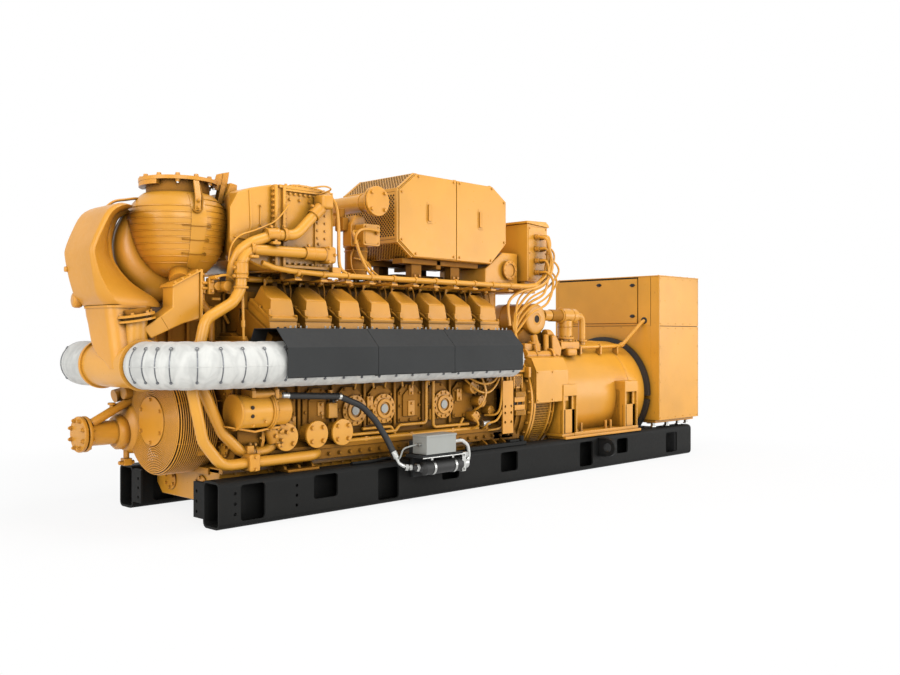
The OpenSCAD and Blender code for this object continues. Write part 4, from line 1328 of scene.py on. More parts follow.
@dataclass
class HotEnd:
    """Riser, scroll, ribbed turbine casing, outlet flange, bypass duct and its actuator."""

    turbine_x: float = 0.088
    rib_thick: float = 0.0042
    hub: tuple[float, float, float] = (0.028, 0.11, 1.788)
    scroll_radius: float = 0.348

    # Casing outline as (height, radius).
    CASING: ClassVar[Flat] = ((1.6, 0.1), (1.622, 0.155), (1.65, 0.196), (1.68, 0.222),
        (1.74, 0.27), (1.82, 0.3), (1.9, 0.322), (1.945, 0.332), (1.98, 0.335), (2.01, 0.332),
        (2.06, 0.313), (2.105, 0.281), (2.14, 0.248), (2.156, 0.228), (2.162, 0.205))
    # Foot of the riser below its joint band: height, near y and far y.
    FOOT: ClassVar[Sequence[Sequence[float]]] = ((1.01, -0.35, -0.165), (1.055, -0.342, -0.085),
        (1.095, -0.332, 0.01), (1.135, -0.322, 0.052), (1.17, -0.312, 0.08), (1.23, -0.298, 0.104),
        (1.29, -0.284, 0.124), (1.34, -0.27, 0.15), (1.385, -0.26, 0.16))
    # Riser sections from the joint band to the turbine: outer x and z, inner x and z, near y at the
    # outer ridge and at the inner edge, far y and the corner radius of the ridge.
    RISER: ClassVar[Sequence[Sequence[float]]] = ((-0.512, 1.396, -0.15, 1.396, -0.252, -0.235,
        0.14, 0.09), (-0.548, 1.43, -0.145, 1.425, -0.255, -0.21, 0.145, 0.08),
        (-0.576, 1.47, -0.16, 1.462, -0.255, -0.16, 0.148, 0.068), (-0.597, 1.535, -0.197, 1.503,
        -0.255, -0.1, 0.149, 0.05), (-0.613, 1.596, -0.263, 1.564, -0.255, -0.05, 0.15, 0.036),
        (-0.632, 1.701, -0.316, 1.65, -0.255, 0.0, 0.152, 0.026), (-0.628, 1.76, -0.338, 1.724,
        -0.255, 0.03, 0.16, 0.026), (-0.577, 1.88, -0.34, 1.832, -0.253, 0.045, 0.172, 0.026),
        (-0.518, 1.985, -0.316, 1.918, -0.25, 0.05, 0.172, 0.026), (-0.43, 2.038, -0.281, 1.981,
        -0.225, 0.055, 0.172, 0.03), (-0.3, 2.064, -0.2, 2.022, -0.06, 0.06, 0.172, 0.04))
    # Horn of the scroll: angle round the hub and radius of the horn.
    HORN: ClassVar[Flat] = ((132, 0.04), (145, 0.055), (158, 0.07), (172, 0.084), (186, 0.096),
        (205, 0.108), (225, 0.116), (245, 0.122), (265, 0.125), (285, 0.126), (310, 0.122),
        (335, 0.116))

    def build(self) -> None:
        """Makes the hot end's pieces."""
        self.riser()
        self.scroll()
        self.turbine()
        self.flange()
        self.bypass()
        self.pedestal()

    def riser(self) -> None:
        """Large duct that climbs from the cross pipe to a ridge and curls into the turbine."""
        shape = Shape(CASTING)
        rings = []
        for z, near, far in self.FOOT:
            inner = -0.19 if z < 1.35 else -0.205
            rings.append([(x, y, z) for x, y in round_box(-0.508 - 0.007 * (z - 1.01) / 0.375,
                inner, near, far, min(0.095, (far - near) * 0.45), 7)])
        shape.loft(rings)
        # Joint band.
        band = round_box(-0.521, -0.209, -0.266, 0.166, 0.098, 8)
        shape.loft([[(x, y, z) for x, y in band] for z in (1.385, 1.4)])
        # The sections are joined smoothly, three steps from one to the next.
        rows = [(*row, 0.0) for row in self.RISER]
        rings = []
        for (x0, z0, x1), (z1, near, inner), (far, corner,
                _) in zip(*(flowing([row[k:k + 3] for row in rows], 3) for k in (0, 3, 6))):
            wide = math.hypot(x1 - x0, z1 - z0)
            along = Vector((x1 - x0, 0, z1 - z0)) / wide
            outline = []
            corner, soft = min(corner, wide * 0.4), min(0.045, wide * 0.4)
            for cu, cv, start, size in ((corner, near + corner, 180, corner),
                    (wide - soft, inner + soft, 270, soft), (wide - soft, far - soft, 0, soft),
                    (soft, far - soft, 90, soft)):
                outline += [(cu + size * math.cos(math.radians(start + 15 * k)),
                    cv + size * math.sin(math.radians(start + 15 * k))) for k in range(7)]
            rings.append([Vector((x0, 0, z0)) + along * u + Vector((0, v, 0)) for u, v in outline])
        shape.loft(rings)
        # Round boss and a cast lug on the far front edge, and the drain line over the top.
        shape.drum((-0.51, 0.14, 1.44), (-0.572, 0.15, 1.44), 0.05, 0.018)
        shape.block((-0.632, 0.105, 1.615), (-0.59, 0.14, 1.65), 0.008)
        shape.wire([(-0.43, 0.05, 1.99), (-0.385, 0.05, 2.045), (-0.335, 0.05, 2.082),
            (-0.26, 0.05, 2.1), (-0.18, 0.05, 2.115), (-0.12, 0.05, 2.1)], 0.009, 8)
        shape.finished("exhaust_riser_duct", "engine_paint", ["exhaust_riser"], 50)

    def scroll(self) -> None:
        """Scroll of the turbine: a horn that swells as it turns about its hub, with a lip."""
        shape = Shape(SHEET)
        hub = Vector(self.hub)
        fine = flowing([(angle, radius, 0) for angle, radius in self.HORN], 4)
        path = [hub + Vector((math.cos(math.radians(p.x)), 0, math.sin(math.radians(p.x))))
            * (self.scroll_radius - p.y) for p in fine]
        shape.tube(path, [p.y for p in fine], 36)
        shape.turned([(0, 0), (0, 0.235), (0.012, 0.255), (0.03, 0.262), (0.15, 0.262), (0.15, 0)],
            hub + Vector((0, 0.03, 0)), (0, 1, 0), 64)
        lip = [hub + Vector((0.333 * math.cos(a), 0.03, 0.333 * math.sin(a)))
            for a in (math.radians(128 + 6 * k) for k in range(30))]
        shape.tube(lip, 0.014, 10)
        shape.washer(hub + Vector((0, 0.02, 0)), (0, 1, 0), 0.25, 0.33, 0.024, 64)
        shape.finished("turbine_scroll", "engine_paint", ["turbo_volute"], 50)

    def casing_radius(self, height: float) -> float:
        """Radius of the casing at a height.

        Args:
            height: Height above the floor.

        Returns:
            The radius there.
        """
        for (z0, r0), (z1, r1) in zip(self.CASING, self.CASING[1:]):
            if z0 <= height <= z1:
                return r0 + (r1 - r0) * (height - z0) / (z1 - z0)
        return self.CASING[-1][1]

    def round_casing(self, height: float, angle: float, lift: float = 0.0) -> Vector:
        """Point on the casing at a height and an angle in degrees, lifted off its skin."""
        a, reach = math.radians(angle), self.casing_radius(height) + lift
        return Vector((self.turbine_x + reach * math.cos(a), reach * math.sin(a), height))

    def turbine(self) -> None:
        """Clad casing round the outlet: two ribbed shells, a plain lap, hooks and a strap."""
        shape = Shape(SHEET, CASTING, LACING, SHADE_ENAMEL)
        foot = Vector((self.turbine_x, 0, 0))
        skin = [(p.x, p.y) for p in flowing([(z, r, 0) for z, r in self.CASING], 3)]
        shape.turned([(skin[0][0], 0), *skin, (skin[-1][0], 0)], foot, (0, 0, 1), 80)
        seam, second = -105, -87
        for k in range(10):
            z = 1.69 + 0.0405 * k
            shape.tube([self.round_casing(z, seam - 5 * v, 0.0025) for v in range(40)],
                self.rib_thick, 6)
        for k in range(11):
            z = 1.705 + 0.0405 * k
            shape.tube([self.round_casing(z, second + 5 * v, 0.0025) for v in range(25)],
                self.rib_thick, 6)
        # Plain lap between the two shells.
        lap = [z for z, r in skin if 1.655 < z < 2.15]
        rings = []
        for angle in range(seam, second + 1, 2):
            rings.append([self.round_casing(z, angle, 0.006) for z in lap] + [self.round_casing(z,
                angle, -0.01) for z in reversed(lap)])
        shape.loft(rings)
        # Wire hooks that hold the lap shut.
        shape.use(3)
        for z in (1.747, 1.836, 1.926):
            arc = [self.round_casing(z - 0.006 * math.sin(math.pi * v / 12), -114 + 2.6 * v, 0.011)
                for v in range(13)]
            shape.tube(arc, 0.0026, 6)
            shape.hoop(arc[-1], self.round_casing(z, -83) - foot - Vector((0, 0, z)), 0.009, 0.0026,
                12, 5)
            shape.drum(arc[0], arc[0] - (arc[0] - foot - Vector((0, 0, z))) * 0.05, 0.006, 0.001, 8)
        # Strap that hangs from the flange down over the lap, with a rod hooked round it; the rod is
        # in the darker enamel and paints the shadow beside the strap.
        shape.use(1).loft([[(x + dx, y + dy, z) for dx, dy in ((-0.02, 0), (0.02, 0), (0.02, 0.01),
            (-0.02, 0.01))] for x, y, z in ((0.078, -0.252, 2.232), (0.053, -0.322, 2.12),
            (0.036, -0.346, 2.045), (0.03, -0.352, 2.022))])
        shape.bolts([(0.044, -0.338, 2.088), (0.034, -0.35, 2.04)], (0, -1, 0.3), 0.02)
        shape.use(3).pipe([(0.106, -0.24, 2.21), (0.086, -0.315, 2.11), (0.064, -0.342, 2.03),
            (0.03, -0.35, 2.004), (0.0, -0.342, 2.03)], 0.008, 0.03, 8)
        shape.finished("turbine_casing", "engine_paint", ["turbine_housing"], 32)

    def flange(self) -> None:
        """Outlet flange on a short dark neck: twelve free bolt holes with nuts between them."""
        shape = Shape(CASTING, SHADE_ENAMEL, ZINC)
        foot = Vector((self.turbine_x, 0, 2.19))
        # The neck is in the darker enamel: painted shade under the plate.
        shape.use(1).washer(foot - Vector((0, 0, 0.035)), (0, 0, 1), 0.19, 0.207, 0.081, 72)
        part = bmesh.new()
        bmesh.ops.create_circle(part, cap_ends=False, segments=144, radius=0.256)
        for k in range(12):
            a = math.tau * (k + 0.5) / 12
            bmesh.ops.create_circle(part, cap_ends=False, segments=14, radius=0.011,
                matrix=Matrix.Translation((0.228 * math.cos(a), 0.228 * math.sin(a), 0)))
        bmesh.ops.create_circle(part, cap_ends=False, segments=72, radius=0.2)
        bmesh.ops.triangle_fill(part, edges=part.edges[:], use_beauty=True)
        bmesh.ops.recalc_face_normals(part, faces=part.faces[:])
        if part.faces[0].normal.z > 0:
            bmesh.ops.reverse_faces(part, faces=part.faces[:])
        grown = bmesh.ops.extrude_face_region(part, geom=part.faces[:], use_keep_orig=True)["geom"]
        bmesh.ops.translate(part, vec=(0, 0, 0.024), verts=[g for g in grown if isinstance(g,
            bmesh.types.BMVert)])
        bmesh.ops.translate(part, vec=foot + Vector((0, 0, 0.044)), verts=part.verts[:])
        shape.use(0).keep(part)
        # Thick pad under the plate on the front side.
        shape.loft([[(self.turbine_x + r * math.cos(a), r * math.sin(a), z) for z,
            r in ((2.204, 0.21), (2.204, 0.2535), (2.235, 0.2535), (2.235, 0.21))]
            for a in (math.radians(128 + 4 * k) for k in range(21))])
        for k in range(12):
            a = math.tau * k / 12
            spot = foot + Vector((0.234 * math.cos(a), 0.234 * math.sin(a), 0))
            shape.use(0).bolts([spot + Vector((0, 0, 0.068))], (0, 0, 1), 0.03)
            if not 120 < math.degrees(a) < 215:
                shape.bolts([spot + Vector((0, 0, 0.044))], (0, 0, -1), 0.03)
                shape.use(2).drum(spot + Vector((0, 0, 0.032)), spot + Vector((0, 0, 0.016)), 0.008,
                    0.002, 10)
        shape.finished("outlet_flange", "engine_paint", ["exhaust_flange"])

    def bypass(self) -> None:
        """Branch pipe with its tilted joint, the flat bypass duct and its valve actuator."""
        shape = Shape(SHEET, CASTING, ZINC, SHADE_ENAMEL)
        x, y = -0.364, -0.3
        shape.drum((x, y, 1.13), (x, y, 1.325), 0.067, 0.004, 36)
        tilt = Vector((-math.sin(math.radians(10)), 0, math.cos(math.radians(10))))
        joint = Vector((x + 0.004, y, 1.305))
        for lift in (0.0, 0.03):
            shape.use(1).washer(joint + tilt * lift, tilt, 0.05, 0.113, 0.014, 44)
        shape.bolt_ring(joint + tilt * 0.044, tilt, 0.092, 6, 0.022, 20)
        # Band and spigot in the darker enamel: painted shade in the joint.
        shape.use(3).drum(joint + tilt * 0.012, joint + tilt * 0.032, 0.085, 0.002, 36)
        shape.drum(joint + tilt * 0.04, joint + tilt * 0.075, 0.068, 0.002, 28)
        front, back = -0.362, -0.225
        shape.use(0).prism([(-0.151, 1.529), (0.04, 1.63), (0.04, 1.322), (-0.08, 1.29),
            (-0.3, 1.193), (-0.35, 1.259), (-0.151, 1.392)], Axis.Y, front, back, 0.01)
        # Lap seams of the duct, its flange to the turbine and the flange on its top.
        shape.prism([(-0.232, 1.328), (-0.222, 1.334), (-0.17, 1.256), (-0.181, 1.25)], Axis.Y,
            front - 0.003, back + 0.003, 0.001)
        shape.block((0.038, front - 0.012, 1.312), (0.056, back + 0.012, 1.642), 0.004)
        shape.bolt_row((0.056, front - 0.002, 1.34), (0.056, front - 0.002, 1.61), 6, (1, 0, 0),
            0.018)
        shape.prism([(-0.16, 1.52), (0.04, 1.626), (0.04, 1.638), (-0.16, 1.532)], Axis.Y,
            front - 0.012, back + 0.012, 0.002)
        shape.bolts([(-0.151 + 0.191 * k, front + 0.003, 1.537 + 0.101 * k) for k in (0.1, 0.37,
            0.63, 0.9)], (-0.4, 0, 1), 0.018)
        shape.use(1).tube([(-0.05, -0.27, 1.55), (0.0, -0.18, 1.6), (0.05, -0.1, 1.64)],
            [0.07, 0.07, 0.08], 24)
        # Actuator: two rods, bracket plate and the round can that faces the near side.
        for z in (1.554, 1.52):
            shape.drum((0.05, -0.37, z), (0.1, -0.37, z), 0.011, 0.002, 14)
        for each in (((0.087, -0.395, 1.481), (0.128, -0.35, 1.588), 0.006), ((0.12, -0.385, 1.505),
                (0.173, -0.345, 1.52), 0.003), ((0.12, -0.385, 1.572), (0.173, -0.345, 1.588),
                0.003)):
            shape.block(*each)
        shape.bolts([(0.107, -0.395, 1.566), (0.107, -0.395, 1.502)], (0, -1, 0), 0.02)
        shape.drum((0.15, -0.33, 1.535), (0.15, -0.405, 1.535), 0.029, 0.005, 24)
        shape.drum((0.196, -0.33, 1.535), (0.196, -0.45, 1.535), 0.035, 0.006, 28)
        shape.block((0.125, -0.375, 1.445), (0.185, -0.355, 1.462), 0.003)
        shape.drum((0.15, -0.365, 1.4), (0.212, -0.375, 1.418), 0.012, 0.003, 12)
        shape.use(0).wire([(0.105, -0.45, 1.59), (0.155, -0.45, 1.604), (0.205, -0.45, 1.6),
            (0.263, -0.45, 1.558), (0.3, -0.45, 1.486), (0.307, -0.45, 1.345),
            (0.311, -0.45, 1.19)], 0.0085, 8)
        shape.drum((0.307, -0.45, 1.315), (0.308, -0.45, 1.27), 0.013, 0.002, 12)
        shape.drum((0.105, -0.455, 1.59), (0.105, -0.37, 1.585), 0.012, 0.002, 12)
        shape.finished("bypass_duct_and_actuator", "engine_paint", ["bypass_duct"])

    def pedestal(self) -> None:
        """Ribbed bracket that carries the turbocharger, with its oil drain; its form is a guess."""
        shape = Shape(SHADE_ENAMEL, CASTING)
        low, high = 1.16, 1.56
        shape.prism([(-0.06, low), (0.52, low), (0.47, high), (0.1, high), (-0.06, 1.34)], Axis.Y,
            0.02, 0.3, 0.014)
        for x in (0.02, 0.16, 0.3, 0.44):
            shape.prism([(x - 0.01, low), (x + 0.01, low), (x + 0.01, high - 0.03),
                (x - 0.01, high - 0.06)], Axis.Y, -0.01, 0.04, 0.003)
        shape.block((0.06, -0.02, high - 0.012), (0.5, 0.32, high + 0.016), 0.006)
        shape.use(1).bolts([(x, 0.0, high + 0.016) for x in (0.12, 0.24, 0.36, 0.46)], (0, 0, 1),
            0.024)
        shape.pipe([(0.23, -0.05, high + 0.1), (0.23, -0.06, 1.44), (0.3, -0.07, 1.36),
            (0.3, -0.07, 1.18)], 0.026, 0.06, 18)
        shape.drum((0.23, -0.055, 1.5), (0.23, -0.055, 1.53), 0.042, 0.004, 24)
        shape.pipe([(0.05, -0.03, 1.47), (0.12, -0.035, 1.42), (0.4, -0.035, 1.4),
            (0.46, -0.03, 1.3)], 0.012, 0.05, 12)
        shape.finished("turbocharger_bracket", "engine_paint", [], 50)


@dataclass
class Heads:
    """Cylinder heads of both banks with rocker covers, studs, gas lines and leads."""

    pitch: float = 0.297
    first: float = 0.607
    cylinders: int = 8

    def build(self) -> None:
        """Makes the heads' pieces."""
        self.castings()
        self.covers()
        self.lines()

    def castings(self) -> None:
        """One casting for each cylinder, with the deck below and the studs beside it."""
        shape = Shape(SHADE_ENAMEL, CASTING, ZINC)
        for k in range(self.cylinders):
            x = self.first + k * self.pitch
            shape.use(0).prism([(-0.454, 1.037), (-0.108, 1.236), (-0.204, 1.408), (-0.552, 1.208)],
                Axis.X, x - 0.138, x + 0.138, 0.006)
            shape.use(1).prism([(-0.497, 1.18), (-0.16, 1.375), (-0.14, 1.44), (-0.25, 1.452),
                (-0.476, 1.318)], Axis.X, x - 0.112, x + 0.112, 0.005)
            shape.use(0).drum((x, -0.5, 1.13), (x, -0.56, 1.1), 0.055, 0.005, 20)
            shape.use(2)
            for dx in (-0.085, -0.045, 0.0, 0.05):
                shape.drum((x + dx + 0.11, -0.52, 1.235), (x + dx + 0.11, -0.525, 1.282), 0.006,
                    0.002, 8)
        shape.both_sides().finished("cylinder_head_castings", "engine_paint", ["cylinder_heads"])

    def cover(self, shape: Shape, x: float) -> None:
        """Rocker cover: a tall box that narrows upwards, with a sloping roof and a bolted foot.

        Args:
            shape: Piece that it is added to.
            x: Place of the cylinder.
        """
        # Each ring: half widths in front and at the back, then y and z in front and at the back.
        rings = []
        for front, back, y0, z0, y1, z1 in ((0.104, 0.098, -0.468, 1.322, -0.262, 1.452),
                (0.1, 0.092, -0.466, 1.346, -0.27, 1.468), (0.086, 0.066, -0.456, 1.446, -0.296,
                1.54), (0.082, 0.058, -0.452, 1.462, -0.3, 1.556), (0.076, 0.052, -0.444, 1.4705,
                -0.306, 1.5585)):
            mid_y, mid_z = y0 + (y1 - y0) * 0.55, z0 + (z1 - z0) * 0.55
            rings.append([(x - front, y0, z0), (x + front, y0, z0), (x + front * 0.97, mid_y,
                mid_z), (x + back, y1, z1), (x - back, y1, z1), (x - front * 0.97, mid_y, mid_z)])
        shape.loft(rings)
        # Foot flange, its bolts and the corner lug.
        shape.prism([(-0.482, 1.308), (-0.486, 1.334), (-0.248, 1.474), (-0.238, 1.448)], Axis.X,
            x - 0.116, x + 0.116, 0.005)
        shape.bolts([(x + dx, -0.476, 1.34) for dx in (-0.104, 0.104)], (0, -0.5, 0.86), 0.022)
        shape.bolts([(x + dx, -0.36, 1.408) for dx in (-0.108, 0.108)], (0, -0.5, 0.86), 0.022)
        shape.block((x - 0.113, -0.474, 1.346), (x - 0.093, -0.43, 1.392), 0.005)

    def covers(self) -> None:
        """Rocker covers of one bank, mirrored for the other."""
        for side, name in ((-1, "left"), (1, "right")):
            shape = Shape(CASTING)
            for k in range(self.cylinders):
                self.cover(shape, self.first + k * self.pitch)
            if side > 0:
                bmesh.ops.scale(shape.mesh, vec=(1, -1, 1), verts=shape.mesh.verts[:])
                bmesh.ops.reverse_faces(shape.mesh, faces=shape.mesh.faces[:])
            shape.finished(f"rocker_covers_{name}", "engine_paint", [f"valve_covers_{name}"], 50)

    def lines(self) -> None:
        """Gas pipe, ignition leads and small lines between the covers and the intake manifold."""
        shape = Shape(SHEET, CASTING, SHADE_ENAMEL)
        for k in range(self.cylinders):
            x = self.first + k * self.pitch
            shape.use(2).wire([(x + 0.148, -0.25, 1.6), (x + 0.152, -0.27, 1.56),
                (x + 0.147, -0.31, 1.48), (x + 0.148, -0.38, 1.36), (x + 0.148, -0.45, 1.27)],
                0.008, 8)
            shape.use(0).wire([(x + 0.1, -0.2, 1.615), (x + 0.06, -0.23, 1.63),
                (x + 0.02, -0.245, 1.6), (x, -0.25, 1.55)], 0.008, 8)
            shape.use(2).wire([(x + 0.125, -0.22, 1.6), (x + 0.17, -0.27, 1.62),
                (x + 0.18, -0.31, 1.55), (x + 0.162, -0.33, 1.44)], 0.006, 6)
            shape.use(1).drum((x + 0.148, -0.305, 1.575), (x + 0.148, -0.29, 1.605), 0.02, 0.003,
                14)
            shape.drum((x + 0.02, -0.235, 1.61), (x + 0.02, -0.24, 1.575), 0.016, 0.003, 12)
            shape.block((x + 0.125, -0.44, 1.25), (x + 0.17, -0.36, 1.3), 0.005)
            shape.use(2).block((x - 0.14, -0.22, 1.4), (x - 0.11, -0.14, 1.52), 0.006)
            shape.block((x + 0.115, -0.25, 1.33), (x + 0.18, -0.13, 1.47), 0.01)
        shape.use(0).tube([(0.5, -0.2, 1.605), (3.0, -0.2, 1.605)], 0.022, 14)
        shape.use(2).block((0.46, -0.2, 1.44), (3.02, -0.12, 1.52), 0.006)
        shape.both_sides().finished("head_lines")


@dataclass
class IntakeManifold:
    """Charge manifold between the banks, with branches, bolted joints and stand rails."""

    start: float = 0.5
    end: float = 3.06

    def build(self) -> None:
        """Makes the manifold."""
        shape = Shape(SHADE_ENAMEL, CASTING)
        half = [(0.09, 1.24), (0.13, 1.3), (0.13, 1.56), (0.08, 1.63)]
        shape.prism(half + [(-y, z) for y, z in reversed(half)], Axis.X, self.start, self.end,
            0.008)
        for k in range(9):
            x = 0.4585 + k * 0.297
            shape.prism([(y * 1.12, z if z < 1.5 else z + 0.008) for y, z in half] + [(-y * 1.12,
                z if z < 1.5 else z + 0.008) for y, z in reversed(half)], Axis.X,
                max(x - 0.014, self.start), x + 0.014, 0.004)
        for s in (-1, 1):
            for k in range(8):
                x = 0.607 + k * 0.297
                shape.pipe([(x, s * 0.11, 1.4), (x, s * 0.17, 1.4), (x, s * 0.2, 1.36)], 0.055,
                    0.05, 16)
            shape.block((self.start, s * 0.155, 1.615), (self.end, s * 0.085, 1.632), 0.004)
            shape.bolt_row((self.start + 0.05, s * 0.132, 1.632), (self.end - 0.05, s * 0.132,
                1.632), 28, (0, 0, 1), 0.02)
        # Small valves, sensors and plugs that stand along the top.
        shape.use(1)
        for k in range(20):
            x = 0.62 + k * 0.124
            tall = 0.018 + 0.022 * ((k * 7) % 5) / 4
            for s in (-1, 1):
                shape.drum((x, s * 0.175, 1.6), (x, s * 0.175, 1.622 + tall),
                    0.012 + 0.004 * (k % 3), 0.003, 12)
                shape.block((x + 0.03, s * 0.21, 1.585), (x + 0.075, s * 0.165, 1.615 + tall * 0.5),
                    0.004)
        shape.finished("charge_manifold", "engine_paint", ["intake_manifold"])


@dataclass
class ChargeCooler:
    """Aftercooler block with its bolted flanges and the curved transition from the compressor."""

    half: float = 0.43
    front: float = 0.56
    back: float = 1.045
    foot: float = 1.65
    top: float = 2.24

    def build(self) -> None:
        """Makes the cooler's pieces."""
        self.transition()
        self.cooler()

    def transition(self) -> None:
        """Sheet duct that opens from the compressor to the cooler, with its welded ribs."""
        shape = Shape(SHEET, CASTING)
        side = [(0.215, 1.84), (0.28, 1.78), (0.347, 1.731), (0.415, 1.697), (0.481, 1.674),
            (0.56, 1.66), (0.56, 2.242), (0.481, 2.224), (0.386, 2.2), (0.293, 2.162),
            (0.224, 2.066)]
        rings = []
        # The front end is hollowed to take the round casing of the turbine.
        for y in (-0.41, -0.4, -0.3, -0.2, -0.12, 0.12, 0.2, 0.3, 0.4, 0.41):
            lift = 0.01 if abs(y) > 0.405 else 0.0
            mouth = 0.232 + min(0.41 - abs(y), 0.29) * 0.45
            rings.append([Vector((max(x, mouth + (x - 0.215) * 0.1), y,
                z + (lift if z < 1.9 else -lift))) for x, z in side])
        shape.loft(rings)
        shape.prism([(0.34, 1.745), (0.352, 1.745), (0.4, 1.95), (0.39, 2.185),
            (0.375, 2.185), (0.385, 1.95)], Axis.Y, -0.416, -0.4, 0.003)
        shape.prism([(0.262, 1.86), (0.55, 1.83), (0.55, 1.842), (0.262, 1.872)], Axis.Y, -0.42,
            -0.34, 0.003)
        shape.block((0.461, -0.418, 1.95), (0.471, -0.405, 2.09), 0.003)
        shape.use(1).bolts([(0.466, -0.418, 1.955), (0.466, -0.418, 2.085)], (0, -1, 0), 0.014)
        # Clamp ring on the compressor outlet and the plates above it.
        shape.tube([(0.33, 0.0, 1.945), (0.2, 0.0, 1.945)], 0.16, 40)
        shape.hoop((0.3, 0, 1.945), (1, 0, 0), 0.165, 0.012, 40, 6)
        shape.prism([(0.289, 2.215), (0.323, 2.318), (0.372, 2.333), (0.352, 2.205)], Axis.Y,
            -0.104, -0.094, 0.003)
        shape.prism([(0.35, 2.205), (0.372, 2.333), (0.42, 2.345), (0.393, 2.195)], Axis.Y, -0.108,
            -0.06, 0.003)
        shape.use(0).prism([(0.358, 2.139), (0.411, 2.267), (0.464, 2.258), (0.455, 2.133)], Axis.Y,
            -0.14, -0.06, 0.006)
        shape.use(1).prism([(0.315, 2.12), (0.345, 2.25), (0.378, 2.24), (0.352, 2.11)], Axis.Y,
            -0.125, -0.075, 0.003)
        shape.tube([(0.3, 0.05, 2.1), (0.3, 0.05, 2.21)], 0.045, 18)
        shape.finished("cooler_transition", "engine_paint", ["aftercooler_transition"])

    def cooler(self) -> None:
        """Cooler body: core, end flanges, roof and foot flanges and their rows of bolts."""
        shape = Shape(SHEET, CASTING, SHADE_ENAMEL)
        h = self.half
        for x in (self.front, 0.625):
            shape.block((x, -h - 0.022, self.foot), (x + 0.022, h + 0.022, self.top), 0.004)
        shape.block((0.58, -h, 1.67), (0.63, h, 2.225), 0.003)
        for s in (-1, 1):
            for x, way in ((self.front, -1), (0.647, 1)):
                shape.use(1).bolt_row((x, s * (h + 0.003), self.foot + 0.04), (x, s * (h + 0.003),
                    self.top - 0.03), 15, (way, 0, 0), 0.024)
        shape.bolt_row((self.front, -h + 0.04, self.top - 0.018), (self.front, h - 0.04,
            self.top - 0.018), 20, (-1, 0, 0), 0.024)
        # Core: the near side wall is a little dished, with a cover plate at the back.
        shape.use(0).prism([(0.645, 1.7), (self.back, 1.7), (self.back, 2.215), (0.645, 2.215)],
            Axis.Y, -h, h, 0.02)
        shape.block((0.9, -h - 0.014, 1.7), (self.back + 0.012, -h + 0.02, 2.2), 0.005)
        shape.block((self.back, -h - 0.014, 1.7), (self.back + 0.016, h + 0.014, 2.215), 0.004)
        shape.use(1)
        for x in (0.92, 0.985):
            shape.bolt_row((x, -h - 0.014, 1.9), (x, -h - 0.014, 2.06), 4, (0, -1, 0), 0.016)
        shape.bolt_row((0.93, -h - 0.014, 1.74), (0.93, -h - 0.014, 1.86), 3, (0, -1, 0), 0.018)
        shape.bolt_row((self.back + 0.016, -h + 0.02, 1.76), (self.back + 0.016, -h + 0.02, 2.18),
            9, (1, 0, 0), 0.022)
        shape.use(0).block((0.64, -h - 0.024, self.foot), (1.062, h + 0.024, 1.672), 0.004)
        shape.block((0.64, -h - 0.024, 1.678), (1.062, h + 0.024, 1.7), 0.004)
        shape.use(1).bolt_row((0.68, -h - 0.012, 1.7), (1.03, -h - 0.012, 1.7), 8, (0, 0, 1), 0.026)
        shape.bolt_row((0.68, -h - 0.012, 1.652), (1.03, -h - 0.012, 1.652), 8, (0, 0, -1), 0.026)
        shape.bolt_row((0.68, h + 0.012, 1.7), (1.03, h + 0.012, 1.7), 8, (0, 0, 1), 0.026)
        shape.use(0).block((0.645, -h - 0.016, 2.205), (1.06, h + 0.016, 2.222), 0.004)
        shape.prism([(0.6, 2.222), (1.06, 2.222), (1.06, 2.232), (0.85, 2.244), (0.6, 2.244)],
            Axis.Y, -h - 0.016, h + 0.016, 0.003)
        shape.use(1)
        for z, count in ((2.19, 9), (2.15, 5)):
            shape.bolt_row((0.69, -h - 0.004, z), (1.02, -h - 0.004, z), count, (0, -1, 0), 0.018)
        shape.bolt_row((0.66, -h - 0.002, 2.243), (1.03, -h - 0.002, 2.232), 9, (0, 0, 1), 0.02)
        shape.use(0).drum((0.9, -0.24, 2.23), (0.9, -0.24, 2.262), 0.075, 0.006, 32)
        shape.drum((0.9, -0.24, 2.262), (0.9, -0.24, 2.278), 0.088, 0.006, 32)
        shape.use(1).bolt_ring((0.9, -0.24, 2.278), (0, 0, 1), 0.066, 6, 0.018)
        # Legs below the cooler, and the duct down to the charge manifold.
        shape.use(2)
        for x in (0.7, 0.98):
            for s in (-1, 1):
                shape.block((x, s * 0.22, 1.4), (x + 0.04, s * 0.14, 1.655), 0.006)
        shape.block((0.62, -0.2, 1.6), (1.04, 0.2, 1.66), 0.01)
        for s in (-1, 1):
            shape.prism([(0.66, 1.6), (1.05, 1.6), (1.02, 1.655), (0.66, 1.655)], Axis.Y,
                s * 0.37 - 0.01, s * 0.37 + 0.01, 0.003)
        shape.finished("cooler_body", "engine_paint", ["aftercooler"])


